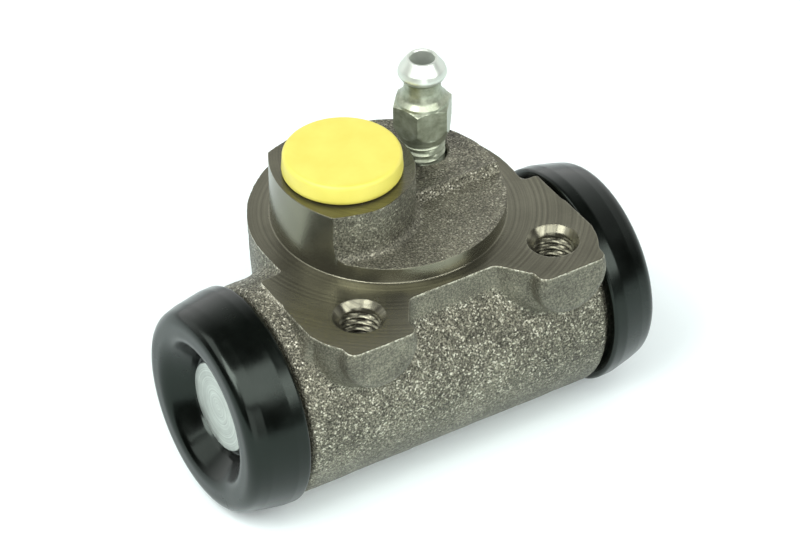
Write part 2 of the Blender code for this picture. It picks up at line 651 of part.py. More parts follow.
def bleed_profile():
    """The turned form of the bleed screw, hexagon left round up to its corners."""
    corner = HEX_BLANK_R
    above, below = BLEED_TOP_Z - BLEED_BALL_Z, BLEED_BALL_Z - BLEED_NECK_Z
    bulb = []
    for i in range(4):
        a = math.radians(90.0 * i / 4)
        bulb.append((BLEED_BALL_Z + above * math.cos(a),
                     BLEED_LIP_R + (BLEED_BALL_R - BLEED_LIP_R) * math.sin(a)))
    for i in range(5):
        a = math.radians(90.0 * i / 4)
        bulb.append((BLEED_BALL_Z - below * math.sin(a),
                     BLEED_NECK_R + (BLEED_BALL_R - BLEED_NECK_R) * math.cos(a)))
    shoulder = []
    rise = BLEED_NECK_Z - BLEED_NECK_LENGTH - BLEED_HEX_TOP_Z
    flat = BLEED_HEX_FLATS / 2
    for i in range(5):
        a = math.radians(90.0 * i / 4)
        shoulder.append((BLEED_HEX_TOP_Z + rise * math.cos(a),
                         BLEED_NECK_R + (flat - BLEED_NECK_R) * math.sin(a)))
    shoulder.append((BLEED_HEX_TOP_Z - BLEED_HEX_SLOPE, corner))
    shank_end = BLEED_TIP_Z + BLEED_SEAT_LENGTH
    return ([(BLEED_TOP_Z, 0.0)] + bulb + shoulder
            + [(BLEED_HEX_BOTTOM_Z, corner), (BLEED_COLLAR_Z, BLEED_SHANK_R + SEAT_GAP),
               (BLEED_COLLAR_Z, BLEED_SHANK_R), (shank_end, BLEED_SHANK_R),
               (BLEED_TIP_Z, BLEED_TIP_R), (BLEED_TIP_Z, 0.0)])


def hex_ring(bench):
    """What is cut away round the bleed screw to leave its hexagon."""
    reach = BLEED_HEX_FLATS
    ring = turned("hex_ring", [(BLEED_NECK_Z, 0.0), (BLEED_NECK_Z, reach),
                               (BLEED_COLLAR_Z - OVERSHOOT, reach), (BLEED_COLLAR_Z - OVERSHOOT, 0.0)],
                  segments=SMALL_SEGMENTS)
    low, high = BLEED_COLLAR_Z - 2 * OVERSHOOT, BLEED_NECK_Z + OVERSHOOT
    hexagon = rod("hexagon", (0.0, 0.0, low), (0.0, 0.0, high), HEX_CORNER_R, segments=6)
    bench.cut(ring, hexagon, location=(BLEED_X, BLEED_Y, 0.0),
              rotation=(0.0, 0.0, math.radians(BLEED_HEX_TURN)))
    return ring


def bleed_screw(bench, mat):
    """The bleed screw, with its hexagon, its bore and its cross hole."""
    screw = turned("bleed_screw", bleed_profile(), segments=SMALL_SEGMENTS)
    place = (BLEED_X, BLEED_Y, 0.0)
    bench.part(screw, mat, place)
    bench.cut(screw, hex_ring(bench), location=place)
    drill_end = BLEED_CROSS_Z - 2 * BLEED_CROSS_R
    drill = [(BLEED_TOP_Z + OVERSHOOT, 0.0), (BLEED_TOP_Z + OVERSHOOT, BLEED_MOUTH_R),
             (BLEED_TOP_Z - BLEED_MOUTH_DEPTH, BLEED_MOUTH_R),
             (BLEED_TOP_Z - BLEED_MOUTH_DEPTH - BLEED_MOUTH_R, BLEED_BORE_R),
             (drill_end, BLEED_BORE_R), (drill_end, 0.0)]
    bench.cut(screw, turned("bleed_drill", drill, segments=24), location=place)
    reach = BLEED_SHANK_R + OVERSHOOT
    cross = rod("cross_drill", (-reach, 0.0, BLEED_CROSS_Z), (reach, 0.0, BLEED_CROSS_Z),
                BLEED_CROSS_R, segments=12)
    bench.cut(screw, cross, location=place)
    return screw


def main():
    """Build the whole wheel cylinder."""
    for obj in list(bpy.data.objects):
        bpy.data.objects.remove(obj, do_unlink=True)
    bench = Bench()
    iron = material("cast_iron", (0.19, 0.18, 0.14), 0.6, 0.8)
    aluminium = material("turned_aluminium", (0.62, 0.63, 0.62), 0.35, 1.0)
    rubber = material("black_rubber", (0.015, 0.016, 0.016), 0.45, 0.0)
    seal_rubber = material("seal_rubber", (0.02, 0.02, 0.02), 0.6, 0.0)
    plate = material("pressed_steel", (0.55, 0.52, 0.4), 0.4, 1.0)
    spring_steel = material("spring_steel", (0.4, 0.4, 0.4), 0.35, 1.0)
    zinc = material("zinc_plated_steel", (0.6, 0.62, 0.58), 0.3, 1.0)
    plastic = material("yellow_plastic", (0.95, 0.85, 0.15), 0.45, 0.0)

    cylinder_body(bench, iron)
    for side, turn in (("left", AGAINST_X), ("right", ALONG_X)):
        bench.part(turned(f"{side}_piston", piston_profile(), segments=RING_SEGMENTS),
                   aluminium, BARREL_CENTRE, turn)
        bench.part(turned(f"{side}_cup_seal", cup_profile(), segments=40), seal_rubber, BARREL_CENTRE, turn)
        bench.part(turned(f"{side}_cup_expander", expander_profile(), closed=True, segments=30),
                   plate, BARREL_CENTRE, turn)
        bench.part(turned(f"{side}_dust_boot", boot_profile(), closed=True, segments=RING_SEGMENTS),
                   rubber, BARREL_CENTRE, turn)
    bench.part(spring_coil(), spring_steel, BARREL_CENTRE)
    bleed_screw(bench, zinc)
    bench.part(turned("port_plug", plug_profile(), segments=RING_SEGMENTS), plastic, (PORT_X, PORT_Y, 0.0))


main()
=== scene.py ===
"""Looks of a drum-brake wheel cylinder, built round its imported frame.

The casting is worked out as one signed distance field and meshed, then machined with cutters, as the
real one is cast and then turned, drilled and tapped. The other pieces are turned or swept surfaces.
Lengths are millimetres until a mesh is made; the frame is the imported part's own: X along the bore,
+Z out of the mounting face, origin at the centre of the round spigot.
"""
import json
import logging
import math
from dataclasses import dataclass
from enum import Enum
from typing import Callable, Optional, Sequence, Union

import bpy
import numpy as np
from mathutils import Matrix, Vector

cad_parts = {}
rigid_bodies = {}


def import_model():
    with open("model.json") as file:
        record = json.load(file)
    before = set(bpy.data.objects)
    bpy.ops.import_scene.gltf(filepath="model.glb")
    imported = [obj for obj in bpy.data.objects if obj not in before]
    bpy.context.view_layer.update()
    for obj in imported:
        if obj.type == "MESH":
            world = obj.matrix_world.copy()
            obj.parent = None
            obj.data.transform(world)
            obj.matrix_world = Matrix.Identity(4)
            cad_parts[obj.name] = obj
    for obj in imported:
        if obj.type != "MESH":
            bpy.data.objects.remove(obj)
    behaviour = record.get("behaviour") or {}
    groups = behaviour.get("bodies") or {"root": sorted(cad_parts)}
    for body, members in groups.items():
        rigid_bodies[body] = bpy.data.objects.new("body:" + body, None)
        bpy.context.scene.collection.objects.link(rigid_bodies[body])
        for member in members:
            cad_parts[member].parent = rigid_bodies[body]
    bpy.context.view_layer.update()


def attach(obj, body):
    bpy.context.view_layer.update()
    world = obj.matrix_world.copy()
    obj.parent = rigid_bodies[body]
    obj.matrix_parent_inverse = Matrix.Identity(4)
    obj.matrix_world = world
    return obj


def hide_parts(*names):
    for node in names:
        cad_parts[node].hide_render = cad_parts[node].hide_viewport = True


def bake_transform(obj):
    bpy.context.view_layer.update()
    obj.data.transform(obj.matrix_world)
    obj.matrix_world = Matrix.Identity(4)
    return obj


LOG = logging.getLogger("wheel_cylinder")

MM = 0.001

# Places and sizes that pieces share
BARREL_CENTRE = np.array([-2.0, -7.5, -14.4])
BARREL_END = 26.0
BLEED_AXIS = (8.25, 4.9)
PORT_AXIS = (-6.7, 0.0)
THREAD_PITCH = 1.0
CUT_PAST = 1.0

# Settings of the noise, profile and mesh functions
HASH_FACTORS = np.array([73856093, 19349663, 83492791])
SEED_FACTOR = 2654435761
MIX_FACTOR = 1274126177
LOW_BITS = 0xFFFF
STRAIGHT_HALF_ANGLE = 1.55
FILLET_SHARE = 0.49
FLANK_STEEPNESS = 1.4
LEAST_SQUARED_SLOPE = 0.2

Array = np.ndarray
Shape = Callable[[Array, Array, Array], Array]
Tree = bpy.types.NodeTree
Socket = bpy.types.NodeSocket


class Side(Enum):
    """The two ends of the cylinder; the value is the way along X that the end faces."""

    LEFT = -1
    RIGHT = 1

    @property
    def label(self) -> str:
        """The end's name in piece, node and body names."""
        return self.name.lower()


class Axis(Enum):
    """The line a turned piece is turned about."""

    X = "x"
    Z = "z"


# Numbers and arrays

def linear(code: str) -> tuple:
    """Turn an sRGB hex colour into linear RGBA.

    Args:
        code: Colour as six hex digits after a hash.

    Returns:
        Four linear numbers, alpha 1.
    """
    parts = [int(code[i:i + 2], 16) / 255 for i in (1, 3, 5)]
    straight = [c / 12.92 if c <= 0.04045 else ((c + 0.055) / 1.055) ** 2.4 for c in parts]
    return (*straight, 1.0)


def smooth_step(t: Array) -> Array:
    """Ease from 0 to 1: 3 t squared less 2 t cubed, on t held between 0 and 1."""
    t = np.clip(t, 0.0, 1.0)
    return t * t * (3 - 2 * t)


def join(a: Array, b: Array, fillet: float) -> Array:
    """Unite two distance fields with a fillet.

    The lesser of the two, less a quadratic blend where they differ by under the fillet's size.

    Args:
        a: First distance field.
        b: Second distance field.
        fillet: Size of the blend in millimetres.

    Returns:
        The united field.
    """
    h = np.clip(0.5 + 0.5 * (b - a) / fillet, 0.0, 1.0)
    return b + (a - b) * h - fillet * h * (1 - h)


def common(a: Array, b: Array, edge: float) -> Array:
    """Intersect two distance fields with a rounded edge of the given size."""
    return -join(-a, -b, edge)


def rounded_max(a: Array, b: Array, radius: float) -> Array:
    """Intersect two fields at right angles with a round edge of exact radius."""
    outside = np.hypot(np.maximum(a + radius, 0.0), np.maximum(b + radius, 0.0))
    return np.minimum(np.maximum(a + radius, b + radius), 0.0) + outside - radius


def lattice_noise(points: Array, cell: float, seed: int) -> Array:
    """Smooth random values in space.

    Each lattice corner gets a random number hashed from its own coordinates, and a point takes the
    smoothly weighted mean of the eight corners round it.

    Args:
        points: Places in millimetres, one row each.
        cell: Lattice spacing in millimetres.
        seed: Whole number that picks the pattern.

    Returns:
        One value between -1 and 1 for each point.
    """
    scaled = points / cell
    base = np.floor(scaled).astype(np.int64)
    weight = smooth_step(scaled - base)
    total = np.zeros(len(points))
    for corner in np.ndindex(2, 2, 2):
        mixed = np.bitwise_xor.reduce((base + corner) * HASH_FACTORS, axis=1) ^ seed * SEED_FACTOR
        mixed = (mixed ^ (mixed >> 13)) * MIX_FACTOR
        value = ((mixed ^ (mixed >> 16)) & LOW_BITS) / (LOW_BITS / 2) - 1.0
        share = np.where(np.array(corner) == 1, weight, 1 - weight).prod(axis=1)
        total += value * share
    return total


def filleted(corners: Sequence[tuple], steps: int = 6) -> Array:
    """Round the corners of an open profile.

    Each fillet is an arc that touches the two stretches at its corner. It takes less than half of
    either, and a corner whose half angle is near a right angle is straight and gets none.

    Args:
        corners: (axial, radius, fillet) for each corner; the ends are kept as they are.
        steps: Points on each fillet.

    Returns:
        Rows of (axial, radius).
    """
    points = [np.array(corners[0][:2])]
    for before, here, after in zip(corners, corners[1:], corners[2:]):
        corner = np.array(here[:2])
        back = np.array(before[:2]) - corner
        ahead = np.array(after[:2]) - corner
        reach_back, reach_ahead = np.linalg.norm(back), np.linalg.norm(ahead)
        back, ahead = back / reach_back, ahead / reach_ahead
        half = math.acos(float(np.clip(back @ ahead, -1, 1))) / 2
        if here[2] <= 0 or half > STRAIGHT_HALF_ANGLE:
            points.append(corner)
            continue
        cut = min(here[2] / math.tan(half), FILLET_SHARE * reach_back, FILLET_SHARE * reach_ahead)
        radius = cut * math.tan(half)
        middle = back + ahead
        centre = corner + middle / np.linalg.norm(middle) * radius / math.sin(half)
        first, last = corner + back * cut - centre, corner + ahead * cut - centre
        sweep = math.atan2(first[0] * last[1] - first[1] * last[0], float(first @ last))
        turn = np.linspace(0.0, sweep, steps)
        cosine, sine = np.cos(turn), np.sin(turn)
        arc = np.stack([first[0] * cosine - first[1] * sine, first[0] * sine + first[1] * cosine], 1)
        points.extend(centre + arc)
    points.append(np.array(corners[-1][:2]))
    return np.array(points)


def spaced(profile: Array, longest: float) -> Array:
    """Split a profile's long stretches so that no step along it is longer than a limit.

    Args:
        profile: Rows of (axial, radius).
        longest: The limit, in millimetres.

    Returns:
        The profile with points added.
    """
    pieces = []
    for start, end in zip(profile[:-1], profile[1:]):
        count = max(1, math.ceil(np.linalg.norm(end - start) / longest))
        pieces.append(start + (end - start) * (np.arange(count) / count)[:, None])
    pieces.append(profile[-1:])
    return np.concatenate(pieces)


# Meshes

def mesh_piece(name: str, points: Array, quads: Array,
               triangles: Optional[Array] = None) -> bpy.types.Object:
    """Put arrays into a mesh object whose faces point outwards.

    Args:
        name: Name of the piece.
        points: Vertex places in millimetres.
        quads: Four vertex numbers a row.
        triangles: Three vertex numbers a row, or nothing.

    Returns:
        The object, linked to the scene.
    """
    triangles = np.zeros((0, 3), int) if triangles is None else triangles
    halves = np.concatenate([quads[:, [0, 1, 2]], quads[:, [0, 2, 3]], triangles])
    a, b, c = (points[halves[:, i]] for i in range(3))
    if np.einsum("ij,ij->", a, np.cross(b, c)) < 0:
        quads, triangles = quads[:, ::-1], triangles[:, ::-1]
    mesh = bpy.data.meshes.new(name)
    mesh.vertices.add(len(points))
    mesh.vertices.foreach_set("co", (points * MM).astype(np.float32).ravel())
    corners = np.concatenate([quads.ravel(), triangles.ravel()]).astype(np.int32)
    mesh.loops.add(len(corners))
    mesh.loops.foreach_set("vertex_index", corners)
    sizes = np.concatenate([np.full(len(quads), 4), np.full(len(triangles), 3)])
    mesh.polygons.add(len(sizes))
    mesh.polygons.foreach_set("loop_start", (np.cumsum(sizes) - sizes).astype(np.int32))
    mesh.update(calc_edges=True)
    mesh.validate()
    obj = bpy.data.objects.new(name, mesh)
    bpy.context.scene.collection.objects.link(obj)
    return obj


def shade(obj: bpy.types.Object, sharp: float = 35.0) -> None:
    """Shade a piece smooth, with sharp edges above an angle in degrees."""
    obj.data.shade_smooth()
    obj.data.set_sharp_from_angle(angle=math.radians(sharp))


def dress(obj: bpy.types.Object, finish: bpy.types.Material, sharp: float) -> None:
    """Give a piece its finish and shade it smooth, with sharp edges above an angle in degrees."""
    obj.data.materials.append(finish)
    shade(obj, sharp)


def grid_faces(rows: int, columns: int, capped: bool) -> tuple:
    """Number the faces of a grid of rings, each closed round its columns.

    Vertex (row, column) has the number row times columns plus column. A capped grid has one more
    vertex for each end, with a fan of triangles to it; any other joins its last ring to its first.

    Args:
        rows: Number of rings.
        columns: Vertices in a ring.
        capped: Whether its ends are capped.

    Returns:
        Quads and triangles.
    """
    row, column = np.arange(rows - 1 if capped else rows)[:, None], np.arange(columns)
    here, ahead, beside = row * columns, (row + 1) % rows * columns, np.roll(column, -1)
    quads = np.stack([here + column, here + beside, ahead + beside, ahead + column], -1).reshape(-1, 4)
    if not capped:
        return quads, None
    pole, last = np.full(columns, rows * columns), (rows - 1) * columns
    first_fan = np.stack([pole, beside, column], 1)
    last_fan = np.stack([pole + 1, last + column, last + beside], 1)
    return quads, np.concatenate([first_fan, last_fan])


def lathe(name: str, profile: Array, columns: int, axis: Axis = Axis.Z,
          centre: Sequence[float] = (0, 0, 0), facing: int = 1,
          shape: Optional[Shape] = None) -> bpy.types.Object:
    """Make a closed turned piece from a profile.

    Point (row, column) stands at the row's axial distance, and at the row's radius in the direction
    of the column's angle. A profile that starts and ends on the axis gets a pole at each end; any
    other is closed into a ring.

    Args:
        name: Name of the piece.
        profile: Rows of (axial, radius).
        columns: Steps round the axis.
        axis: Line it is turned about.
        centre: Where axial distance 0 is, in millimetres.
        facing: 1 to run the profile along the axis, -1 to run it against the axis.
        shape: Changes the radius: takes axial, radius and angle grids and returns the new radius.

    Returns:
        The object.
    """
    solid = profile[0, 1] == 0 and profile[-1, 1] == 0
    rows = profile[1:-1] if solid else profile
    angle = np.arange(columns) * 2 * np.pi / columns
    axial = np.repeat(rows[:, :1], columns, axis=1)
    radius = np.repeat(rows[:, 1:], columns, axis=1)
    if shape is not None:
        radius = shape(axial, radius, angle[None, :] + 0 * axial)
    points = np.stack([radius * np.cos(angle), radius * np.sin(angle), axial], axis=-1).reshape(-1, 3)
    if solid:
        points = np.concatenate([points, [[0, 0, profile[0, 0]], [0, 0, profile[-1, 0]]]])
    if axis is Axis.X:
        points = np.stack([points[:, 2] * facing, points[:, 0], points[:, 1] * facing], axis=1)
    return mesh_piece(name, points + np.asarray(centre, float), *grid_faces(len(rows), columns, solid))


def thread_shape(low: float, high: float, pitch: float, depth: float) -> Shape:
    """Make a function that cuts a V thread in a turned surface.

    The radius falls by depth times a triangle wave of (axial / pitch less the share of a turn). The
    wave's flanks are made steeper, so that its crests and roots are flat, and it is eased in over
    half a pitch at each end of the thread.

    Args:
        low: Where the thread starts, axial.
        high: Where it ends.
        pitch: Rise of one turn.
        depth: Depth of the thread; negative for a thread cut outwards, as in a hole.

    Returns:
        A shape function for lathe.
    """
    def shape(axial: Array, radius: Array, angle: Array) -> Array:
        """Radius with the thread's wave taken off."""
        phase = (axial / pitch - angle / (2 * np.pi)) % 1.0
        wave = smooth_step(FLANK_STEEPNESS * (np.abs(2 * phase - 1) - 0.5) + 0.5)
        ends = smooth_step((axial - low) * 2 / pitch) * smooth_step((high - axial) * 2 / pitch)
        return radius - depth * wave * ends

    return shape


def surface_net(field_at: Callable[[Array], Array], low: Array, high: Array, step: float) -> tuple:
    """Mesh the zero surface of a distance field.

    Each grid cell that the surface passes gets one vertex, at the mean of the crossings on its
    edges, and each grid edge that the surface crosses gets one quad between its four cells. The
    vertices are then moved along the field's gradient three times, which brings them onto the surface.

    Args:
        field_at: Takes rows of points and returns distances.
        low: Lowest corner of the grid.
        high: Highest corner of the grid.
        step: Grid spacing.

    Returns:
        Vertex places, quads and outward unit normals.
    """
    axes = [np.arange(a, b + step, step) for a, b in zip(low, high)]
    grid = np.stack(np.meshgrid(*axes, indexing="ij"), axis=-1)
    values = np.stack([field_at(slab.reshape(-1, 3)).reshape(slab.shape[:-1]) for slab in grid])
    inside = values < 0
    cells = tuple(n - 1 for n in values.shape)
    total, hits = np.zeros(cells + (3,)), np.zeros(cells)
    window = (slice(None, -1), slice(1, None))
    for axis in range(3):
        others = [i for i in range(3) if i != axis]
        for at in np.ndindex(2, 2):
            near, offset = [window[0]] * 3, np.zeros(3)
            for other, choice in zip(others, at):
                near[other] = window[choice]
                offset[other] = choice
            far = list(near)
            far[axis] = window[1]
            a, b = values[tuple(near)], values[tuple(far)]
            crossed = (a < 0) != (b < 0)
            share = np.where(crossed, a / np.where(crossed, a - b, 1.0), 0.0)
            hits += crossed
            for i in range(3):
                total[..., i] += crossed * (share if i == axis else offset[i])
    active = hits > 0
    number = np.full(cells, -1)
    number[active] = np.arange(active.sum())
    corner = np.stack(np.nonzero(active), axis=1)
    points = np.array(low) + (corner + total[active] / hits[active][:, None]) * step
    quads = []
    for axis in range(3):
        u, v = (axis + 1) % 3, (axis + 2) % 3
        start, end = [slice(None)] * 3, [slice(None)] * 3
        start[axis], end[axis] = window
        change = inside[tuple(start)].astype(int) - inside[tuple(end)].astype(int)
        at = np.stack(np.nonzero(change), axis=1)
        kept = (at[:, u] > 0) & (at[:, v] > 0) & (at[:, u] < cells[u]) & (at[:, v] < cells[v])
        at = at[kept]
        way = change[tuple(at.T)]
        ring = []
        for du, dv in ((0, 0), (1, 0), (1, 1), (0, 1)):
            cell = at.copy()
            cell[:, u] -= du
            cell[:, v] -= dv
            ring.append(number[tuple(cell.T)])
        ring = np.stack(ring, axis=1)
        quads.append(np.where(way[:, None] > 0, ring, ring[:, ::-1]))
    for _ in range(3):
        slope = gradient(field_at, points)
        square = np.maximum((slope ** 2).sum(axis=1), LEAST_SQUARED_SLOPE)
        points = points - slope * (field_at(points) / square)[:, None]
    slope = gradient(field_at, points)
    return points, np.concatenate(quads), slope / np.linalg.norm(slope, axis=1, keepdims=True)


def gradient(field_at: Callable[[Array], Array], points: Array, reach: float = 0.02) -> Array:
    """Slope of a field by central differences over twice the reach.

    Args:
        field_at: Takes rows of points and returns distances.
        points: Rows of points.
        reach: Half the distance between the two values that are compared.

    Returns:
        One slope for each point, along X, Y and Z.
    """
    columns = []
    for shift in np.eye(3) * reach:
        columns.append((field_at(points + shift) - field_at(points - shift)) / (2 * reach))
    return np.stack(columns, axis=1)


def machine(work: bpy.types.Object, cutter: bpy.types.Object) -> None:
    """Take a cutter out of the work for good; the cut faces keep the cutter's material.

    Args:
        work: The piece that is cut.
        cutter: A closed piece, which is then removed.
    """
    step = work.modifiers.new("cut", "BOOLEAN")
    step.operation = "DIFFERENCE"
    step.solver = "MANIFOLD"
    step.material_mode = "TRANSFER"
    step.object = cutter
    result = bpy.data.meshes.new_from_object(work.evaluated_get(bpy.context.evaluated_depsgraph_get()))
    work.modifiers.remove(step)
    old, work.data = work.data, result
    bpy.data.meshes.remove(old)
    bpy.data.objects.remove(cutter)


# Finishes

def per_metre(size: float) -> float:
    """Texture scale that gives a pattern of this size in millimetres."""
    return 1 / (size * MM)


def set_up(made: bpy.types.Node, settings: dict, **links: Socket) -> None:
    """Give a node its settings and links.

    Args:
        made: The node.
        settings: Node properties by name, socket values by socket name or number, and under
            "stops" a colour ramp's (position, hex colour) pairs.
        links: Socket name with underscores for spaces, or an underscore and the socket's number,
            to the output socket that feeds it.
    """
    for key, value in settings.items():
        if key == "stops":
            elements = made.color_ramp.elements
            while len(elements) < len(value):
                elements.new(0.5)
            for element, (place, code) in zip(elements, value):
                element.position = place
                element.color = linear(code)
        elif isinstance(key, int) or key in made.inputs:
            made.inputs[key].default_value = value
        else:
            setattr(made, key, value)
    for key, source in links.items():
        name = int(key[1:]) if key[0] == "_" else key.replace("_", " ")
        made.id_data.links.new(source, made.inputs[name])


def node(tree: Tree, kind: str, settings: Optional[dict] = None, out: Union[int, str] = 0,
         **links: Socket) -> Socket:
    """Add a node with its settings and links.

    Args:
        tree: Node tree of the material or the world.
        kind: Blender's name of the node type, after ShaderNode.
        settings: What set_up takes.
        out: Name or number of the output socket that is wanted.
        links: What set_up takes.

    Returns:
        The output socket.
    """
    made = tree.nodes.new(f"ShaderNode{kind}")
    set_up(made, settings or {}, **links)
    return made.outputs[out]


def new_material(name: str) -> tuple:
    """Make a material and give it, its tree and its Principled shader.

    Args:
        name: Name of the material.

    Returns:
        The material, its node tree and the shader's node.
    """
    made = bpy.data.materials.new(name)
    made.use_nodes = True
    return made, made.node_tree, made.node_tree.nodes["Principled BSDF"]


def distance_from(tree: Tree, place: Socket, centre: Sequence[float], axis: Axis) -> Socket:
    """Distance in metres from a line through a point in millimetres, along an axis.

    Args:
        tree: Node tree of the material.
        place: Place on the piece, in metres.
        centre: Point on the line, in millimetres.
        axis: Way of the line.

    Returns:
        The distance's socket.
    """
    middle = tuple(c * MM for c in centre)
    keep = (0.0, 1.0, 1.0) if axis is Axis.X else (1.0, 1.0, 0.0)
    shifted = node(tree, "VectorMath", {"operation": "SUBTRACT", 1: middle}, _0=place)
    flat = node(tree, "VectorMath", {"operation": "MULTIPLY", 1: keep}, _0=shifted)
    return node(tree, "VectorMath", {"operation": "LENGTH"}, out="Value", _0=flat)


def drift(tree: Tree, cloud: Socket, ends: Sequence[float]) -> Socket:
    """Value that goes from one end to the other over the middle of a cloud pattern."""
    limits = {"From Min": 0.3, "From Max": 0.7, "To Min": ends[0], "To Max": ends[1]}
    return node(tree, "MapRange", limits, Value=cloud)


@dataclass(frozen=True)
class Finish:
    """What the finishes share: a named material whose pattern reads the piece's own coordinates."""

    name: str

    def pattern(self, tree: Tree, place: Socket) -> tuple:
        """Add the nodes of the finish; each finish has its own.

        Args:
            tree: Node tree of the material.
            place: Place on the piece, in metres.

        Returns:
            Settings and links of the Principled shader, as set_up takes them.
        """
        raise NotImplementedError

    def build(self) -> bpy.types.Material:
        """Make the material.

        Returns:
            The material, with its Principled shader set up.
        """
        made, tree, shader = new_material(self.name)
        settings, links = self.pattern(tree, node(tree, "TexCoord", out="Object"))
        set_up(shader, settings, **links)
        return made


@dataclass(frozen=True)
class SandCastIron(Finish):
    """Sand-cast grey iron, shot-blasted: a coarse pitted skin, with painted sparkle on its grains.

    Contrast and depth of the grain follow the casting's coarse attribute, and so does the painted
    sparkle: a painted highlight that lightens a few cells of the colour, while a few others are
    darkened. A painted edge highlight runs round the edge of the machined face. Each of glints
    is (chance of the cell, change of its tone).
    """

    name: str = "sand_cast_grey_iron"
    dark: str = "#2b2b21"
    middle: str = "#605f52"
    light: str = "#8b8a77"
    # painted highlight: near-white colour at the top of the ramp, for grains that catch the light
    glint: str = "#d6d5c3"
    grain: float = 0.23
    patch: float = 4.6
    pit_depth: float = 0.14
    worn_edge: float = 0.3
    # the top stop paints highlights on the cells of greatest chance; the lowest stop darkens a few cells
    glints: tuple = ((0.0, -0.12), (0.3, 0.0), (0.75, 0.0), (0.95, 0.22))
    # painted edge highlight: how much it lightens the colour, the band of heights it covers, and its top
    burr: float = 0.36
    burr_zone: tuple = (-0.35, -0.05)
    burr_top: float = 0.02
    metallic: float = 0.5

    def glint_curve(self, tree: Tree, chance: Socket) -> Socket:
        """Tone that each cell's chance adds, straight from one stop of glints to the next: a painted
        highlight on the cells of greatest chance, darker tone on those of least.

        Args:
            tree: Node tree of the material.
            chance: The cell's chance, from 0 to 1.

        Returns:
            The tone's socket.
        """
        made = node(tree, "FloatCurve", Value=chance).node
        made.mapping.clip_min_y = -1.0
        points = made.mapping.curves[0].points
        while len(points) < len(self.glints):
            points.new(0.5, 0.0)
        for point, place in zip(points, self.glints):
            point.location = place
            point.handle_type = "VECTOR"
        made.mapping.update()
        return made.outputs["Value"]

    def pattern(self, tree: Tree, place: Socket) -> tuple:
        """Grain and painted sparkle on chance cells over soft patches, with a painted edge highlight near the
        machined face.

        Args:
            tree: Node tree of the material.
            place: Place on the piece, in metres.

        Returns:
            Settings and links of the Principled shader.
        """
        coarse = node(tree, "Attribute", {"attribute_name": "coarse"}, out="Fac")
        scale = per_metre(self.grain)
        grains = node(tree, "TexNoise", {"Scale": scale, "Detail": 3.0, "Roughness": 0.65}, Vector=place)
        cells = node(tree, "TexVoronoi", {"Scale": scale, "Randomness": 1.0}, out="Distance", Vector=place)
        patches = node(tree, "TexNoise", {"Scale": per_metre(self.patch), "Detail": 2.0}, Vector=place)
        chance = node(tree, "SeparateColor", Color=cells.node.outputs["Color"])
        # painted highlight: sparkle in the colour on chance cells, scaled by the coarse attribute
        lit = self.glint_curve(tree, chance)
        glints = node(tree, "Math", {"operation": "MULTIPLY"}, _0=lit, _1=coarse)
        contrast = node(tree, "MapRange", {"To Min": 0.55, "To Max": 1.05}, Value=coarse)
        centred = node(tree, "Math", {"operation": "SUBTRACT", 1: 0.5}, _0=grains)
        speckle = node(tree, "Math", {"operation": "MULTIPLY_ADD"}, _0=centred, _1=contrast, _2=glints)
        tone = node(tree, "Math", {"operation": "MULTIPLY_ADD", 1: 0.22, 2: 0.39}, _0=patches)
        height = node(tree, "SeparateXYZ", out="Z", Vector=place)
        # painted edge highlight: lighter colour in a thin band just under the machined face, broken up by the
        # cells
        below = node(tree, "Math", {"operation": "LESS_THAN", 1: self.burr_top * MM}, _0=height)
        low, high = (level * MM for level in self.burr_zone)
        near = node(tree, "MapRange", {"From Min": low, "From Max": high, "To Max": self.burr}, Value=height)
        burr = node(tree, "Math", {"operation": "MULTIPLY"}, _0=near, _1=below)
        broken = node(tree, "MapRange", {"To Min": 0.15}, Value=chance)
        edged = node(tree, "Math", {"operation": "MULTIPLY_ADD"}, _0=burr, _1=broken, _2=tone)
        mixed = node(tree, "Math", {"operation": "ADD"}, _0=speckle, _1=edged)
        # the ramp's top stop, glint, is the painted highlight colour
        stops = [(0.33, self.dark), (0.5, self.middle), (0.64, self.light), (0.85, self.glint)]
        colour = node(tree, "ValToRGB", {"stops": stops}, Fac=mixed)
        gloss = {"From Min": 0.4, "From Max": 0.75, "To Min": 0.55, "To Max": 0.28}
        rough = node(tree, "MapRange", gloss, Value=mixed)
        pits = node(tree, "Math", {"operation": "MULTIPLY_ADD", 1: 0.6}, _0=cells, _2=grains)
        strength = node(tree, "MapRange", {"To Min": 0.3}, Value=coarse)
        worn = node(tree, "Bevel", {"samples": 4, "Radius": self.worn_edge * MM})
        depth = {"Distance": self.pit_depth * MM}
        bump = node(tree, "Bump", depth, Height=pits, Strength=strength, Normal=worn)
        return {"Metallic": self.metallic}, {"Base_Color": colour, "Roughness": rough, "Normal": bump}


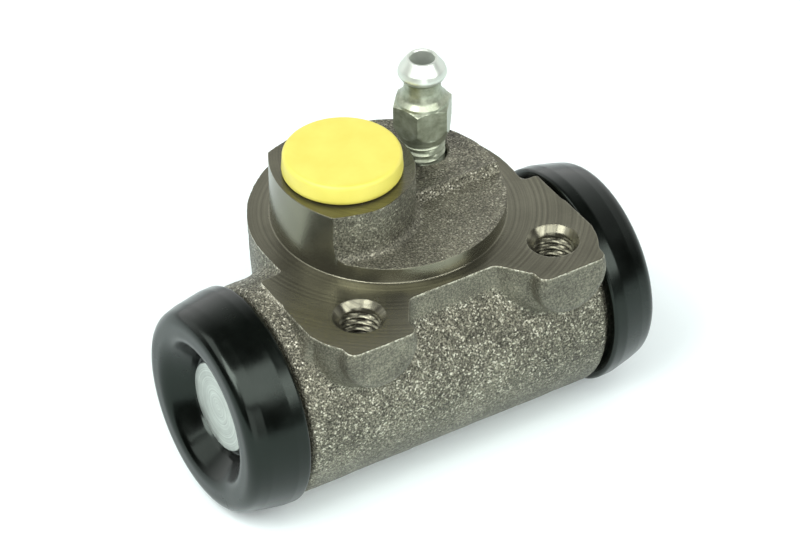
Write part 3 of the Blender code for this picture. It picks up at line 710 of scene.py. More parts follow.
@dataclass(frozen=True)
class TurnedIron(Finish):
    """Turned and milled grey iron: dark brownish grey, satin, with fine rings from the tool.

    The rings run about the spigot's axis, and none go down the holes.
    """

    name: str = "turned_grey_iron"
    dark: str = "#545347"
    light: str = "#878674"
    ring: float = 0.35
    cloud: float = 4.55
    speck: float = 0.238
    trace_depth: float = 0.03
    trace_from: float = -0.1
    worn_edge: float = 0.25
    metallic: float = 0.88
    roughness: tuple = (0.22, 0.28)

    def pattern(self, tree: Tree, place: Socket) -> tuple:
        """Rings and specks on the faces, and clouds of tone over all of it.

        Args:
            tree: Node tree of the material.
            place: Place on the piece, in metres.

        Returns:
            Settings and links of the Principled shader.
        """
        across = node(tree, "CombineXYZ", X=distance_from(tree, place, (0, 0, 0), Axis.Z))
        rings = node(tree, "TexNoise", {"Scale": per_metre(self.ring), "Detail": 3.0}, Vector=across)
        cloud = node(tree, "TexNoise", {"Scale": per_metre(self.cloud), "Detail": 4.0}, Vector=place)
        speck = node(tree, "TexNoise", {"Scale": per_metre(self.speck), "Detail": 2.0}, Vector=place)
        tone = node(tree, "Math", {"operation": "MULTIPLY_ADD", 1: 0.35}, _0=cloud, _2=rings)
        colour = node(tree, "ValToRGB", {"stops": [(0.4, self.dark), (1.0, self.light)]}, Fac=tone)
        level = node(tree, "SeparateXYZ", out="Z", Vector=place)
        faces = node(tree, "Math", {"operation": "GREATER_THAN", 1: self.trace_from * MM}, _0=level)
        traces = node(tree, "Math", {"operation": "ADD"}, _0=rings, _1=speck)
        height = node(tree, "Math", {"operation": "MULTIPLY"}, _0=traces, _1=faces)
        worn = node(tree, "Bevel", {"samples": 4, "Radius": self.worn_edge * MM})
        depth = {"Strength": 0.35, "Distance": self.trace_depth * MM}
        bump = node(tree, "Bump", depth, Height=height, Normal=worn)
        rough = drift(tree, cloud, self.roughness)
        return {"Metallic": self.metallic}, {"Base_Color": colour, "Roughness": rough, "Normal": bump}


@dataclass(frozen=True)
class MouldedRubber(Finish):
    """Moulded black rubber: deep grey-green black with a soft sheen, a faint bloom and a fine skin."""

    name: str = "moulded_black_rubber"
    dark: str = "#040504"
    bloom: str = "#0a0e0b"
    sheen: str = "#dff0e4"
    specular: float = 0.36
    roughness: tuple = (0.14, 0.3)
    cloud: float = 5.88
    skin: float = 0.192

    def pattern(self, tree: Tree, place: Socket) -> tuple:
        """Bloom in patches and a fine skin grain.

        Args:
            tree: Node tree of the material.
            place: Place on the piece, in metres.

        Returns:
            Settings and links of the Principled shader.
        """
        clouds = {"Scale": per_metre(self.cloud), "Detail": 5.0, "Roughness": 0.6}
        cloud = node(tree, "TexNoise", clouds, Vector=place)
        skin = node(tree, "TexNoise", {"Scale": per_metre(self.skin), "Detail": 2.0}, Vector=place)
        colour = node(tree, "ValToRGB", {"stops": [(0.35, self.dark), (0.8, self.bloom)]}, Fac=cloud)
        bump = node(tree, "Bump", {"Strength": 0.15, "Distance": 0.02 * MM}, Height=skin)
        rough = drift(tree, cloud, self.roughness)
        settings = {"Specular Tint": linear(self.sheen), "Specular IOR Level": self.specular}
        return settings, {"Base_Color": colour, "Roughness": rough, "Normal": bump}


@dataclass(frozen=True)
class TurnedAluminium(Finish):
    """Turned aluminium: pale grey with rings from the tool, about a piston's axis."""

    name: str = "turned_aluminium"
    dark: str = "#9a9f99"
    light: str = "#cdd3cc"
    ring: float = 0.22
    cloud: float = 2.5
    metallic: float = 0.8
    roughness: tuple = (0.3, 0.45)

    def pattern(self, tree: Tree, place: Socket) -> tuple:
        """Rings about the bore's axis under clouds of tone.

        Args:
            tree: Node tree of the material.
            place: Place on the piece, in metres.

        Returns:
            Settings and links of the Principled shader.
        """
        across = node(tree, "CombineXYZ", X=distance_from(tree, place, BARREL_CENTRE, Axis.X))
        rings = node(tree, "TexNoise", {"Scale": per_metre(self.ring), "Detail": 2.0}, Vector=across)
        cloud = node(tree, "TexNoise", {"Scale": per_metre(self.cloud), "Detail": 4.0}, Vector=place)
        tone = node(tree, "Math", {"operation": "MULTIPLY_ADD", 1: 0.5}, _0=cloud, _2=rings)
        colour = node(tree, "ValToRGB", {"stops": [(0.5, self.dark), (0.95, self.light)]}, Fac=tone)
        bump = node(tree, "Bump", {"Strength": 0.4, "Distance": 0.02 * MM}, Height=rings)
        rough = drift(tree, cloud, self.roughness)
        return {"Metallic": self.metallic}, {"Base_Color": colour, "Roughness": rough, "Normal": bump}


@dataclass(frozen=True)
class PlatedSteel(Finish):
    """Zinc-plated steel: pale, faintly green-grey, with the soft cloudiness of the plating.

    Above the height bright_from its colour is lighter, a painted highlight on the top of a piece; this height
    is over every other piece by default.
    """

    name: str = "zinc_plated_steel"
    dark: str = "#7f8672"
    light: str = "#a9b09c"
    # painted highlight: lighter colour above bright_from, for the light on the bleed screw's bead
    bright: str = "#cfd6cc"
    bright_from: float = 99.0
    bright_over: float = 0.3
    cloud: float = 1.11
    grain: float = 0.167
    metallic: float = 0.7
    roughness: tuple = (0.3, 0.42)

    def pattern(self, tree: Tree, place: Socket) -> tuple:
        """Plating clouds over a fine grain, with a painted highlight above one height.

        Args:
            tree: Node tree of the material.
            place: Place on the piece, in metres.

        Returns:
            Settings and links of the Principled shader.
        """
        clouds = {"Scale": per_metre(self.cloud), "Detail": 5.0, "Roughness": 0.6}
        cloud = node(tree, "TexNoise", clouds, Vector=place)
        grain = node(tree, "TexNoise", {"Scale": per_metre(self.grain), "Detail": 2.0}, Vector=place)
        plating_tone = node(tree, "ValToRGB", {"stops": [(0.3, self.dark), (0.7, self.light)]}, Fac=cloud)
        height = node(tree, "SeparateXYZ", out="Z", Vector=place)
        # painted highlight: from bright_from up over bright_over the colour turns to bright
        zone = {"From Min": self.bright_from * MM, "From Max": (self.bright_from + self.bright_over) * MM}
        painted_highlight_share = node(tree, "MapRange", zone, Value=height)
        mix = {"data_type": "RGBA", 7: linear(self.bright)}
        colour = node(tree, "Mix", mix, out=2, _0=painted_highlight_share, _6=plating_tone)
        bump = node(tree, "Bump", {"Strength": 0.2, "Distance": 0.015 * MM}, Height=grain)
        rough = drift(tree, cloud, self.roughness)
        return {"Metallic": self.metallic}, {"Base_Color": colour, "Roughness": rough, "Normal": bump}


@dataclass(frozen=True)
class MouldedPlastic(Finish):
    """Moulded polyethylene: clear bright yellow, waxy and slightly uneven."""

    name: str = "moulded_yellow_polyethylene"
    dark: str = "#cdc353"
    light: str = "#d3ca5c"
    cloud: float = 3.03
    roughness: float = 0.42

    def pattern(self, tree: Tree, place: Socket) -> tuple:
        """A waxy skin with soft unevenness.

        Args:
            tree: Node tree of the material.
            place: Place on the piece, in metres.

        Returns:
            Settings and links of the Principled shader.
        """
        cloud = node(tree, "TexNoise", {"Scale": per_metre(self.cloud), "Detail": 3.0}, Vector=place)
        colour = node(tree, "ValToRGB", {"stops": [(0.3, self.dark), (0.7, self.light)]}, Fac=cloud)
        bump = node(tree, "Bump", {"Strength": 0.12, "Distance": 0.1 * MM}, Height=cloud)
        return {"Roughness": self.roughness}, {"Base_Color": colour, "Normal": bump}


# Pieces

@dataclass
class Casting:
    """The iron body: one cast skin, then the lathe's, drill's and tap's cuts.

    The flange is (left, right, front, back); a lug is (X of its tip, X of its inner side at the
    flange); a boss facet is (direction in degrees, distance from the port's axis); a grain is
    (height, size). The groove is (near end, far end, floor, open radius). Both holes are sections of
    (height, radius) corners.
    """

    step: float = 0.36
    grid: tuple = ((-28.6, -24.0, -29.0), (24.6, 18.9, 10.3))
    grains: tuple = ((0.06, 0.5), (0.04, 0.8))
    waves: tuple = (0.05, 3.0)
    least_grain: float = 0.2
    coarse_band: tuple = (0.2, 0.5)
    coarse_under: float = 0.35
    coarse_heights: tuple = (-23.0, -12.0)
    coarse_middling: float = 0.55
    coarse_change: float = 0.45
    stock: float = 0.6
    barrel_radius: float = 14.0
    barrel_half: float = 22.0
    barrel_corner: float = 0.9
    land_radius: float = 12.3
    land_corner: float = 0.3
    land_ease: float = 0.25
    groove: tuple = (23.6, 24.8, 11.5, 13.5)
    bore_radius: float = 10.3
    bore_chamfer: float = 0.5
    pad_radius: float = 18.15
    pad_draft: float = 2.4
    pad_depth: float = 18.0
    pad_bevel_from: float = 9.5
    pad_bevel_slope: float = 38.0
    pad_edge: float = 1.2
    pad_set_back: float = 1.0
    pad_fillet: float = 2.0
    spigot_radius: float = 15.2
    spigot_height: float = 2.3
    spigot_fillet: float = 0.3
    step_height: float = 0.85
    step_width: float = 0.5
    step_y: float = -2.9
    ridge_height: float = 0.45
    ridge_width: float = 0.35
    ridge_from: float = 2.0
    ridge_back: float = 0.1
    top_scale: float = 0.85
    flange: tuple = (-21.4, 20.1, -16.95, -4.0)
    flange_depth: float = 8.0
    flange_corner: float = 0.5
    flange_fillet: float = 0.7
    left_draft: float = 22.0
    lugs: tuple = ((-14.6, -7.3), (13.6, 5.4))
    lug_front: float = -23.1
    lug_tip_half: float = 4.4
    lug_tip_edge: float = 0.5
    lug_depths: tuple = (10.0, 7.0)
    lug_round_share: float = 0.7
    lug_squareness: float = 2.6
    lug_powers: tuple = (1.7, 1.05)
    lug_boss_radius: float = 5.2
    lug_boss_drop: float = 1.9
    lug_boss_proud: float = 1.5
    lug_boss_edge: float = 1.25
    lug_boss_root: float = 0.7
    lug_boss_fillet: float = 0.2
    boss_height: float = 9.1
    boss_corner: float = 2.6
    boss_fillet: float = 1.5
    boss_facets: tuple = ((-120.0, 10.2), (-90.0, 9.8), (-52.0, 9.2), (-6.0, 9.4), (46.0, 9.2),
                          (90.0, 9.8), (120.0, 10.2), (180.0, 9.1))
    port_radii: tuple = (5.1, 4.5, 1.2)
    port_depths: tuple = (0.1, -1.5, -9.2)
    port_thread_depth: float = 0.45
    hole_places: tuple = ((-14.4, -16.6), (14.4, -16.6))
    hole: tuple = ((1.0, 0), (1.0, 3.4), (0, 3.4), (-1.1, 2.5), (-7.0, 2.5), (-8.4, 0))
    hole_thread: tuple = (-6.8, -0.9)
    hole_thread_depth: float = 0.5
    bleed_hole: tuple = ((4.2, 0), (4.2, 3.4), (3.15, 3.4), (2.85, 3.15), (-5.7, 3.15), (-8.0, 0.9),
                         (-8.3, 0.9), (-8.3, 0))
    passage_start: tuple = (*BLEED_AXIS, -8.0)
    passage_end: tuple = (2.6, -1.3, -10.3)
    passage_radius: float = 1.0

    def barrel(self, p: Array) -> Array:
        """Distance to the barrel with its two turned lands: cylinders along X with round corners.

        Args:
            p: Rows of points.

        Returns:
            Distances.
        """
        x, y, z = (p - BARREL_CENTRE).T
        out = np.hypot(y, z)
        main = rounded_max(out - self.barrel_radius, np.abs(x) - self.barrel_half, self.barrel_corner)
        land = rounded_max(out - self.land_radius, np.abs(x) - BARREL_END, self.land_corner)
        return np.minimum(main, land)

    def pad(self, p: Array) -> Array:
        """Distance to the round pad: a cone about Z, cut by the slope at the back and in front.

        Args:
            p: Rows of points.

        Returns:
            Distances.
        """
        x, y, z = p.T
        draft, slope = math.radians(self.pad_draft), math.radians(self.pad_bevel_slope)
        side = (np.hypot(x, y) - self.pad_radius - z * math.tan(draft)) * math.cos(draft)
        under = (-self.pad_bevel_from + (y - self.pad_radius) * math.tan(slope) - z) * math.cos(slope)
        side = common(side, under, self.pad_edge)
        side = np.maximum(side, self.flange[2] + self.pad_set_back - y)
        return np.maximum(side, np.maximum(z - self.stock, -self.pad_depth - z))

    def plate(self, p: Array) -> Array:
        """Distance to the flange plate: a box with round upright corners, its left wall drafted out.

        Args:
            p: Rows of points.

        Returns:
            Distances.
        """
        x, y, z = p.T
        left, right, front, back = self.flange
        left = left + np.minimum(z, 0.0) * math.tan(math.radians(self.left_draft))
        dx = np.abs(x - (left + right) / 2) - (right - left) / 2
        dy = np.abs(y - (front + back) / 2) - (back - front) / 2
        wall = rounded_max(dx, dy, self.flange_corner)
        return np.maximum(wall, np.maximum(z - self.stock, -self.flange_depth - z))

    def lug(self, p: Array, centre: float, edge: float, root: float) -> Array:
        """Distance to one lug, with the round boss on its front.

        Across X and Z the lug is a squarish U between its two sides; going forwards its outer and
        inner side move from the flange's to the tip's by the share of the way to a power of each.

        Args:
            p: Rows of points.
            centre: X of the tip and of the round boss.
            edge: X of the outer side at the flange.
            root: X of the inner side at the flange.

        Returns:
            Distances.
        """
        x, y, z = p.T
        tip = self.lug_front + self.lug_boss_proud
        share = np.clip((self.flange[2] - y) / (self.flange[2] - tip), 0.0, 1.0)
        side = 1.0 if edge > centre else -1.0
        outer = edge + (centre + side * self.lug_tip_half - edge) * share ** self.lug_powers[0]
        inner = root + (centre - side * self.lug_tip_half - root) * share ** self.lug_powers[1]
        middle, half = (outer + inner) / 2, np.abs(outer - inner) / 2
        depth = self.lug_depths[0] + (self.lug_depths[1] - self.lug_depths[0]) * share
        drop = np.minimum(half, self.lug_round_share * depth)
        across, down = np.abs(x - middle) / half, np.maximum(drop - depth - z, 0.0) / drop
        power = self.lug_squareness
        section = ((across ** power + down ** power) ** (1 / power) - 1) * np.minimum(half, drop)
        body = rounded_max(section, tip - y, self.lug_tip_edge)
        body = np.maximum(body, y - (self.flange[3] + self.flange[2]) / 2)
        nose = np.hypot(x - centre, z + self.lug_boss_drop) - self.lug_boss_radius
        nose = rounded_max(nose, self.lug_front - y, self.lug_boss_edge)
        nose = np.maximum(nose, y - self.flange[2] - self.lug_boss_root)
        return np.maximum(join(body, nose, self.lug_boss_fillet), z - self.stock)

    def spigot(self, p: Array) -> Array:
        """Distance to the rough spigot, whose top steps down in front, and to the port boss on it.

        The step's height follows an eased step along Y, with a low bell-shaped ridge on its edge; the
        height over it is scaled down a little, because the step slopes. The boss is a polygon of
        facets with round corners.

        Args:
            p: Rows of points.

        Returns:
            Distances.
        """
        x, y, z = p.T
        rise = smooth_step((y - self.step_y) / self.step_width + 0.5)
        bell = np.exp(-((y - self.step_y - self.ridge_back) / self.ridge_width) ** 2)
        ridge = self.ridge_height * bell * smooth_step((x - self.ridge_from) / 2.0)
        top = self.spigot_height + self.step_height * rise + ridge
        disc = np.maximum(np.hypot(x, y) - self.spigot_radius - self.stock, self.top_scale * (z - top))
        disc = np.maximum(disc, -self.stock - z)
        square = np.zeros(len(p))
        inner = np.full(len(p), -np.inf)
        for angle, reach in self.boss_facets:
            a = math.radians(angle)
            flat = (x - PORT_AXIS[0]) * math.cos(a) + (y - PORT_AXIS[1]) * math.sin(a)
            flat = flat - reach + self.boss_corner
            square += np.maximum(flat, 0.0) ** 2
            inner = np.maximum(inner, flat)
        side = np.where(inner > 0, np.sqrt(square), inner) - self.boss_corner
        boss = np.maximum(side, np.maximum(z - self.boss_height - self.stock, -self.stock - z))
        return join(disc, boss, self.boss_fillet)

    def distance(self, p: Array) -> Array:
        """Signed distance to the whole rough casting, its forms joined with cast fillets.

        Args:
            p: Rows of points.

        Returns:
            Distances.
        """
        whole = join(self.barrel(p), self.pad(p), self.pad_fillet)
        whole = join(whole, self.plate(p), self.flange_fillet)
        for edge, (centre, root) in zip(self.flange, self.lugs):
            whole = join(whole, self.lug(p, centre, edge, root), self.flange_fillet)
        return join(whole, self.spigot(p), self.spigot_fillet)

    def coarseness(self, p: Array) -> Array:
        """How coarse the sand's skin is, from 0 to 1.

        Fullest on the barrel's upper front and along the spigot's step, middling on the pad and the
        spigot, and fine on the lugs and the wall between them.

        Args:
            p: Rows of points.

        Returns:
            One share for each point.
        """
        x, y, z = p.T
        near, over = self.coarse_band
        on_barrel = 1 - smooth_step((np.abs(self.barrel(p)) - near) / over)
        low, high = self.coarse_heights
        # This share also scales the cast finish's painted sparkle, so that is strongest on the upper barrel
        # and along the spigot's step
        upper = self.coarse_under + (1 - self.coarse_under) * smooth_step((z - low) / (high - low))
        front = smooth_step((self.flange[2] + self.pad_set_back - y) / 0.8)
        on_step = (z > self.spigot_height - 0.3) & (x > self.ridge_from)
        step = np.exp(-((y - self.step_y + 0.4) / 0.8) ** 2) * on_step
        rest = (self.coarse_middling - self.coarse_change * front) + self.coarse_change * step
        return np.clip(np.maximum(on_barrel * upper, rest), 0.0, 1.0)

    def skin(self) -> bpy.types.Object:
        """Mesh the rough casting and push its skin in and out by the mould's grain.

        Returns:
            The casting.
        """
        points, quads, normals = surface_net(self.distance, *np.array(self.grid), self.step)
        layers = [height * lattice_noise(points, size, seed)
                  for seed, (height, size) in enumerate((*self.grains, self.waves), 1)]
        share = self.least_grain + (1 - self.least_grain) * self.coarseness(points)
        rough = share * sum(layers[:-1]) + layers[-1]
        turned = smooth_step((np.abs(points[:, 0] - BARREL_CENTRE[0]) - self.barrel_half) / self.land_ease)
        points = points + normals * (rough * (1 - turned))[:, None]
        return mesh_piece("casting", points, quads)

    def turned_cutters(self) -> list:
        """Make the lathe's cutters: facing, bore and the two boot grooves.

        Returns:
            Closed pieces.
        """
        top, wide, reach, above = self.boss_height, self.spigot_radius, 45.0, 20.0
        face = [(top, 0, 0), (top, wide, 0), (0, wide, 0.15), (0, reach, 0), (above, reach, 0), (above, 0, 0)]
        cuts = [lathe("face_cut", filleted(face, 4), 240)]
        out, radius, chamfer = BARREL_END + CUT_PAST, self.bore_radius, self.bore_chamfer
        half = [(out, 0), (out, radius + chamfer + CUT_PAST), (BARREL_END - chamfer, radius)]
        bore = np.array(half + [(-along, r) for along, r in reversed(half)])
        cuts.append(lathe("bore_cut", bore, 128, Axis.X, BARREL_CENTRE))
        near, far, floor, wide = self.groove
        groove = np.array([(near, floor), (near, wide), (far, wide), (far, floor)])
        for side in Side:
            cuts.append(lathe("groove_cut", groove, 128, Axis.X, BARREL_CENTRE, side.value))
        return cuts

    def drilled_cutters(self) -> list:
        """Make the drills and taps: port, two tapped holes, bleed hole and its passage to the bore.

        Returns:
            Closed pieces.
        """
        top, past = self.boss_height, self.boss_height + CUT_PAST
        mouth, core, duct = self.port_radii
        seat, neck, end = self.port_depths
        port = np.array([(past, 0), (past, mouth), (top, mouth), (top + core - mouth, core), (seat, core),
                         (neck, duct), (end, duct), (end, 0)])
        tap = thread_shape(seat + 0.5, top - 0.7, THREAD_PITCH, -self.port_thread_depth)
        cuts = [lathe("port_cut", spaced(port, 0.14), 72, Axis.Z, (*PORT_AXIS, 0), shape=tap)]
        hole = spaced(np.array(self.hole), 0.125)
        tap = thread_shape(*self.hole_thread, THREAD_PITCH, -self.hole_thread_depth)
        for place in self.hole_places:
            cuts.append(lathe("hole_cut", hole, 72, Axis.Z, (*place, 0), shape=tap))
        cuts.append(lathe("bleed_cut", np.array(self.bleed_hole), 72, Axis.Z, (*BLEED_AXIS, 0)))
        start = np.array(self.passage_start)
        way = np.array(self.passage_end) - start
        length, radius = np.linalg.norm(way), self.passage_radius
        passage = lathe("passage_cut", np.array([(0, 0), (0, radius), (length, radius), (length, 0)]), 32)
        turn = Vector((0, 0, 1)).rotation_difference(Vector(way)).to_matrix().to_4x4()
        passage.data.transform(Matrix.Translation(Vector(start * MM)) @ turn)
        return [*cuts, passage]

    def build(self, cast: bpy.types.Material, turned: bpy.types.Material) -> bpy.types.Object:
        """Cast and machine the body, with one material for each surface.

        Args:
            cast: Finish of the cast skin.
            turned: Finish of what the cutters leave.

        Returns:
            The body.
        """
        body = self.skin()
        body.data.materials.append(cast)
        for cutter in self.turned_cutters() + self.drilled_cutters():
            cutter.data.materials.append(turned)
            machine(body, cutter)
        places = np.zeros(len(body.data.vertices) * 3, np.float32)
        body.data.vertices.foreach_get("co", places)
        skin = body.data.attributes.new("coarse", "FLOAT", "POINT")
        skin.data.foreach_set("value", self.coarseness(places.reshape(-1, 3) / MM).astype(np.float32))
        shade(body, 38.0)
        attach(body, "cylinder")
        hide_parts("cylinder_body")
        return body


@dataclass
class DustBoot:
    """A rubber boot: skirt on the barrel's end, rolled crown and a funnel down to the piston's groove.

    The lining and the bead are (axial, radius, fillet) corners; the bead lies in the barrel's groove.
    """

    side: Side
    crest: float
    crest_radius: float = 11.45
    rim: float = 22.7
    rim_radius: float = 14.6
    rim_inside: float = 12.6
    shoulder: tuple = (2.6, 13.95)
    lip: tuple = (25.75, 26.85)
    lip_hole: float = 5.5
    lining: tuple = ((27.4, 9.0, 1.0), (28.4, 11.2, 0.8), (27.6, 12.2, 0.8), (26.2, 12.6, 0.3))
    bead: tuple = ((24.1, 12.6, 0.1), (24.0, 11.85, 0.1), (23.7, 11.85, 0.1), (23.6, 12.6, 0.1))
    bend: tuple = (23.3, 25.65)

    def profile(self) -> Array:
        """Closed section, from the rim over the crown into the funnel and back inside.

        Returns:
            Rows of (axial, radius).
        """
        crest, radius, rim, (low, high) = self.crest, self.crest_radius, self.rim, self.lip
        ends = (rim, self.rim_radius - 1.0, 0)
        corners = [ends, (rim, self.rim_radius, 0.5), (rim + 1.9, self.rim_radius - 0.05, 2.0),
                   (crest - self.shoulder[0], self.shoulder[1], 1.8),
                   (crest, radius + 1.75, 2.2), (crest, radius - 1.6, 1.9), (high + 0.9, 7.4, 1.6),
                   (high, 6.9, 0.3), (high, self.lip_hole, 0.15), (low, self.lip_hole, 0.15),
                   (low, 7.0, 0.5), *self.lining, *self.bead, (rim, self.rim_inside, 0.2), ends]
        return spaced(filleted(corners, 7), 0.3)[:-1]

    def build(self, finish: bpy.types.Material) -> bpy.types.Object:
        """Mould the boot.

        Args:
            finish: Its rubber.

        Returns:
            The boot.
        """
        name = f"{self.side.label}_boot"
        boot = lathe(name, self.profile(), 144, Axis.X, BARREL_CENTRE, self.side.value)
        dress(boot, finish, 50.0)
        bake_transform(boot)
        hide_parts(f"{self.side.label}_dust_boot")
        return boot


@dataclass
class PistonSet:
    """A piston with the cup seal and the pressed expander behind it.

    The three sections are (axial, radius, fillet) corners.
    """

    side: Side
    piston: tuple = ((27.95, 0, 0), (27.95, 6.0, 0.2), (27.2, 6.0, 0.1), (27.2, 5.2, 0.1), (25.4, 5.2, 0.1),
                     (25.4, 7.0, 0.2), (21.5, 7.0, 0.3), (21.5, 10.2, 0.5), (12.5, 10.2, 0.5), (12.5, 0, 0))
    cup: tuple = ((12.2, 0, 0), (12.2, 9.8, 0.4), (8.1, 10.2, 0.3), (7.7, 9.7, 0.2), (9.7, 8.0, 0.5),
                  (10.0, 7.6, 0.4), (10.0, 0, 0))
    washer: tuple = ((9.7, 3.6, 0), (9.7, 6.8, 0.5), (8.3, 8.4, 0.2), (7.7, 8.1, 0.15), (9.1, 6.5, 0.5),
                     (9.1, 4.1, 0.3), (7.9, 4.1, 0.1), (7.9, 3.5, 0.1), (9.6, 3.5, 0.1), (9.7, 3.6, 0))

    def turned_piece(self, part: str, corners: Sequence[tuple],
                     finish: bpy.types.Material) -> bpy.types.Object:
        """Turn one piece of the set.

        Args:
            part: Node's name without its side.
            corners: Its section; one that starts off the axis is a closed ring.
            finish: Its material.

        Returns:
            The piece.
        """
        section = spaced(filleted(corners, 5), 1.2)
        if section[0, 1] > 0:
            section = section[:-1]
        made = lathe(f"{self.side.label}_{part}_turned", section, 112, Axis.X, BARREL_CENTRE, self.side.value)
        dress(made, finish, 40.0)
        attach(made, f"{self.side.label}_piston_set")
        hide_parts(f"{self.side.label}_{part}")
        return made

    def build(self, aluminium: bpy.types.Material, rubber: bpy.types.Material,
              plate: bpy.types.Material) -> list:
        """Make the piston, its cup and its expander.

        Args:
            aluminium: The piston's finish.
            rubber: The cup's finish.
            plate: The expander's finish.

        Returns:
            The three pieces.
        """
        return [self.turned_piece("piston", self.piston, aluminium),
                self.turned_piece("cup_seal", self.cup, rubber),
                self.turned_piece("cup_expander", self.washer, plate)]


@dataclass
class ReturnSpring:
    """Half of the coil between the two expanders, from its middle to the expander on one side."""

    side: Side
    reach: float = 8.35
    radius: float = 5.1
    wire: float = 0.45
    turns: float = 6.5
    rows: int = 210
    columns: int = 14

    def sweep(self) -> Array:
        """Points of a round wire swept along a helix about the bore's axis.

        The wire's circle is square to the helix: round it, the radius goes by its cosine, and its
        sine goes along the axis and back round the turn by the helix's rise and run.

        Returns:
            Rings of points, ring after ring, then the middles of the two ends.
        """
        share = (np.linspace(0.0, 0.5, self.rows) + (0.0 if self.side is Side.LEFT else 0.5))[:, None]
        turn = 2 * np.pi * self.turns * share
        circle = np.arange(self.columns)[None, :] * 2 * np.pi / self.columns
        rise = 2 * self.reach / (2 * np.pi * self.turns * self.radius)
        lean = 1 / math.hypot(1, rise)
        out = self.radius + self.wire * np.cos(circle) + 0 * share
        along = self.reach * (2 * share - 1) + self.wire * lean * np.sin(circle)
        skew = -self.wire * lean * rise * np.sin(circle) + 0 * share
        y = out * np.cos(turn) - skew * np.sin(turn)
        z = out * np.sin(turn) + skew * np.cos(turn)
        points = np.stack([along, y, z], axis=-1).reshape(-1, 3)
        ends = [points[:self.columns].mean(0), points[-self.columns:].mean(0)]
        return np.concatenate([points, ends])

    def build(self, finish: bpy.types.Material) -> bpy.types.Object:
        """Wind the half coil.

        Args:
            finish: The wire's finish.

        Returns:
            The half coil.
        """
        coil = mesh_piece(f"{self.side.label}_return_coil", self.sweep() + BARREL_CENTRE,
                          *grid_faces(self.rows, self.columns, True))
        dress(coil, finish, 60.0)
        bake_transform(coil)
        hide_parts("return_spring")
        return coil


@dataclass
class BleedScrew:
    """The bleed screw: hose bead, hexagon, and a threaded shank down to its cone seat.

    The sections are (axial, radius, fillet) corners: head down to the hexagon, shank below it, and
    the bore back up.
    """

    flats: float = 7.0
    turn: float = 49.0
    corner_spare: float = 0.02
    hex_zone: tuple = (7.0, 11.34)
    collar_radius: float = 3.3
    sides: int = 6
    thread: tuple = (-5.0, 5.5)
    thread_depth: float = 0.48
    shank_core: float = 2.4
    head: tuple = ((17.9, 1.72, 0.05), (17.9, 1.98, 0.12), (16.5, 2.98, 0.9), (15.65, 3.28, 0.7),
                   (15.05, 2.85, 0.4), (14.85, 2.5, 0.05), (14.6, 2.4, 0.1), (13.2, 2.44, 1.6),
                   (12.3, 2.8, 1.2), (11.65, 3.4, 0.1), (11.33, 3.5, 0.03))
    shank: tuple = ((5.7, 3.15, 0.1), (5.6, 2.6, 0.05), (5.2, 2.95, 0.05), (-5.7, 2.9, 0.1),
                    (-8.0, 0.6, 0.1), (-8.0, 0.35, 0))
    bore: tuple = ((12.2, 0.9, 0.2), (13.2, 1.6, 0.2), (17.7, 1.6, 0.1), (17.9, 1.72, 0))

    def profile(self) -> Array:
        """Section down the outside and back up the bore.

        Returns:
            Rows of (axial, radius).
        """
        corner = self.flats / math.sqrt(3) + self.corner_spare
        hexagon = ((11.0, corner, 0.04), (8.0, corner, 0.05), (6.3, self.collar_radius, 0.2))
        return spaced(filleted((*self.head, *hexagon, *self.shank, *self.bore), 6), 0.16)[:-1]

    def outline(self, axial: Array, radius: Array, angle: Array) -> Array:
        """Radius with the hexagon and the thread.

        In the hexagon's zone the radius is held to half the flats over the cosine of the angle from
        the nearest flat's middle; on the shank the thread's wave is taken off.

        Args:
            axial: Axial grid.
            radius: Radius grid.
            angle: Angle grid, counted from a corner of the hexagon.

        Returns:
            The new radius grid.
        """
        sixth = 2 * np.pi / self.sides
        limit = self.flats / 2 / np.cos(angle % sixth - sixth / 2)
        low, high = self.hex_zone
        in_zone = (axial > low) & (axial < high) & (radius > self.collar_radius)
        radius = np.where(in_zone, np.minimum(radius, limit), radius)
        wave = thread_shape(*self.thread, THREAD_PITCH, self.thread_depth)
        threaded = wave(axial, radius, angle + math.radians(self.turn))
        return np.where((radius > self.shank_core) & (axial < self.thread[1]), threaded, radius)

    def build(self, finish: bpy.types.Material) -> bpy.types.Object:
        """Turn the screw, with the hexagon's corners on columns of the grid.

        Args:
            finish: Its plating.

        Returns:
            The screw.
        """
        screw = lathe("bleed_nipple", self.profile(), 120, shape=self.outline)
        screw.data.transform(Matrix.Rotation(math.radians(self.turn), 4, "Z"))
        screw.data.transform(Matrix.Translation(Vector((*BLEED_AXIS, 0)) * MM))
        dress(screw, finish, 28.0)
        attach(screw, "bleeder")
        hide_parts("bleed_screw")
        return screw


@dataclass
class PortPlug:
    """The soft yellow transit plug: a thick round head and a hollow stem.

    The ribs are (height, radius over the stem's).
    """

    seat: float = 9.25
    head_radius: float = 7.75
    head_height: float = 2.75
    stem_radius: float = 4.2
    stem_end: float = 2.8
    wall: float = 1.0
    ribs: tuple = ((7.9, 0.0), (7.6, 0.1), (7.3, 0.0), (5.6, -0.1), (5.3, 0.0), (5.0, -0.15))

    def build(self, finish: bpy.types.Material) -> bpy.types.Object:
        """Mould the plug with round edges and two sealing ribs on its stem.

        Args:
            finish: Its plastic.

        Returns:
            The plug.
        """
        top, seat, end = self.seat + self.head_height, self.seat, self.stem_end
        head, stem = self.head_radius, self.stem_radius
        corners = [(top, 0, 0), (top, head - 0.15, 0.55), (seat + 0.5, head, 0.6), (seat, head - 0.1, 0.3),
                   (seat, stem, 0.2), *((height, stem + more, 0.1) for height, more in self.ribs),
                   (end, stem - 0.3, 0.3), (end, stem - 0.3 - self.wall, 0.2),
                   (seat, stem - self.wall, 0.3), (seat, 0, 0)]
        plug = lathe("transit_plug", spaced(filleted(corners, 8), 0.5), 128, Axis.Z, (*PORT_AXIS, 0))
        dress(plug, finish, 50.0)
        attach(plug, "plug")
        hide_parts("port_plug")
        return plug


